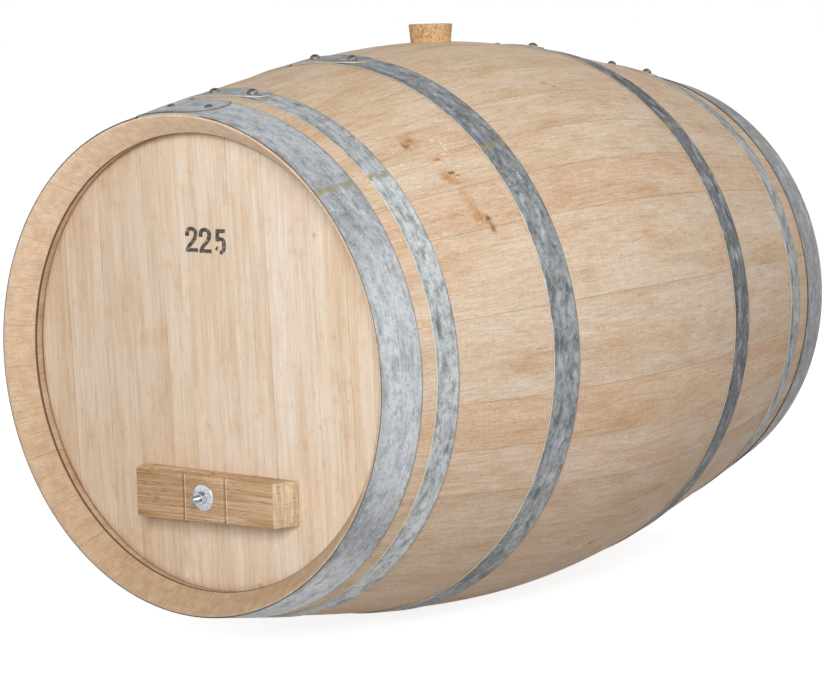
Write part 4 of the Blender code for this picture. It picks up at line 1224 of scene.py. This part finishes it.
near_corner, far_corner = (Vector(corner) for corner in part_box("bar_nut"))
nut_height = far_corner.y - near_corner.y
rings = []
for level in ("bore foot", "face foot", "edge foot", "edge top", "face top", "bore top"):
    ring = []
    for step in range(NUT_SIDES):
        turn = math.tau * step / NUT_SIDES
        flat_turn = (turn + math.pi / 6) % (math.pi / 3) - math.pi / 6
        edge = NUT_APOTHEM / math.cos(flat_turn)
        radius = {"bore": NUT_BORE, "face": NUT_FACE, "edge": edge}[level.split()[0]]
        fall = (edge - NUT_FACE) * math.tan(math.radians(30)) if "edge" in level else 0.0
        height = nut_height - fall if level.endswith("top") else fall
        ring.append((radius * math.cos(turn), radius * math.sin(turn), height))
    rings.append(ring)
mesh = finished_mesh(on_bolt(rings, far_corner.y, closed=True), 25)
fit_piece("hexagon_nut", mesh, ZINC, "nut", "zinc_steel", "bar_nut")

rubber = clouded("moulded_seal_rubber", "#242424", "#333231", 2, (0.4, 0.7), 0.7, Roughness=0.8)
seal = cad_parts["bolt_seal"]
seal.data.materials.clear()
seal.data.materials.append(rubber)


# Studio
# A white floor and a white surround, a soft lamp just left of the camera and a weaker one above the barrel's
# right side. The ceiling that the metal reflects is darker than the walls, as a real room's is.

EYE = Vector((2.0055, -2.6537, 0.7614))
AIM = Vector((0.1288, -0.2199, 0.3557))
ROLL = math.radians(-1.4057)
LENS = 116.7
LIT_WORLD = 0.27  # the world's share of the light on the object

view_camera = bpy.data.cameras.new("camera")
view_camera.lens = LENS
view_camera.sensor_width = 36
view_camera.clip_end = 100
camera = place_object("camera", view_camera)
level = (EYE - AIM).to_track_quat("Z", "Y").to_matrix().to_4x4()
camera.matrix_world = Matrix.Translation(EYE) @ level @ Matrix.Rotation(ROLL, 4, "Z")
bpy.context.scene.camera = camera

for label, place, width, power in (
    ("key", (1.65, -2.85, 1.55), 1.3, 76),
    ("fill", (1.27, 0.20, 1.90), 1.1, 10),
):
    lamp = bpy.data.lights.new(label, "AREA")
    lamp.shape = "SQUARE"
    lamp.size = width
    lamp.energy = power
    holder = place_object(label, lamp)
    holder.location = place
    holder.rotation_euler = (Vector(place) - Vector((0, 0, AXIS_HEIGHT))).to_track_quat("Z", "Y").to_euler()

world = bpy.data.worlds.new("studio")
bpy.context.scene.world = world
world.use_nodes = True
tree = world.node_tree
rays = add_node(tree, "LightPath").outputs
sky = add_node(tree, "TexCoord").outputs["Generated"]
height = add_node(tree, "SeparateXYZ", {0: sky}).outputs["Z"]
fade = {"Value": height, "From Min": 0.4, "From Max": 0.8, "To Min": 1.0, "To Max": 0.3}
ceiling = add_node(tree, "MapRange", fade, interpolation_type="SMOOTHSTEP")
seen = add_node(tree, "Math", {0: rays["Is Camera Ray"], 1: rays["Is Glossy Ray"]}, operation="MAXIMUM")
seen = add_node(tree, "Math", {0: seen, 1: rays["Is Transmission Ray"]}, operation="MAXIMUM")
strength = add_node(tree, "Mix", {0: seen, 2: LIT_WORLD, 3: ceiling}, data_type="FLOAT")
feed(tree, tree.nodes["Background"], {"Color": (1, 1, 1, 1), "Strength": strength})

bm = bmesh.new()
bmesh.ops.create_grid(bm, x_segments=1, y_segments=1, size=30)
floor = draft_from(bm, "floor")
floor_white, tree, shader, _ = new_material("white_floor")
rays = add_node(tree, "LightPath").outputs
dim = add_node(tree, "Math", {0: rays["Is Glossy Ray"], 1: 0.35}, operation="MULTIPLY")
glow = add_node(tree, "Math", {0: rays["Is Camera Ray"], 1: 0.86, 2: dim}, operation="MULTIPLY_ADD")
feed(tree, shader, {"Base Color": linear("#d8d8d8"), "Roughness": 0.9, "Specular IOR Level": 0.0})
feed(tree, shader, {"Emission Color": (1, 1, 1, 1), "Emission Strength": glow})
floor.data.materials.append(floor_white)

bpy.context.scene.view_settings.view_transform = "Standard"
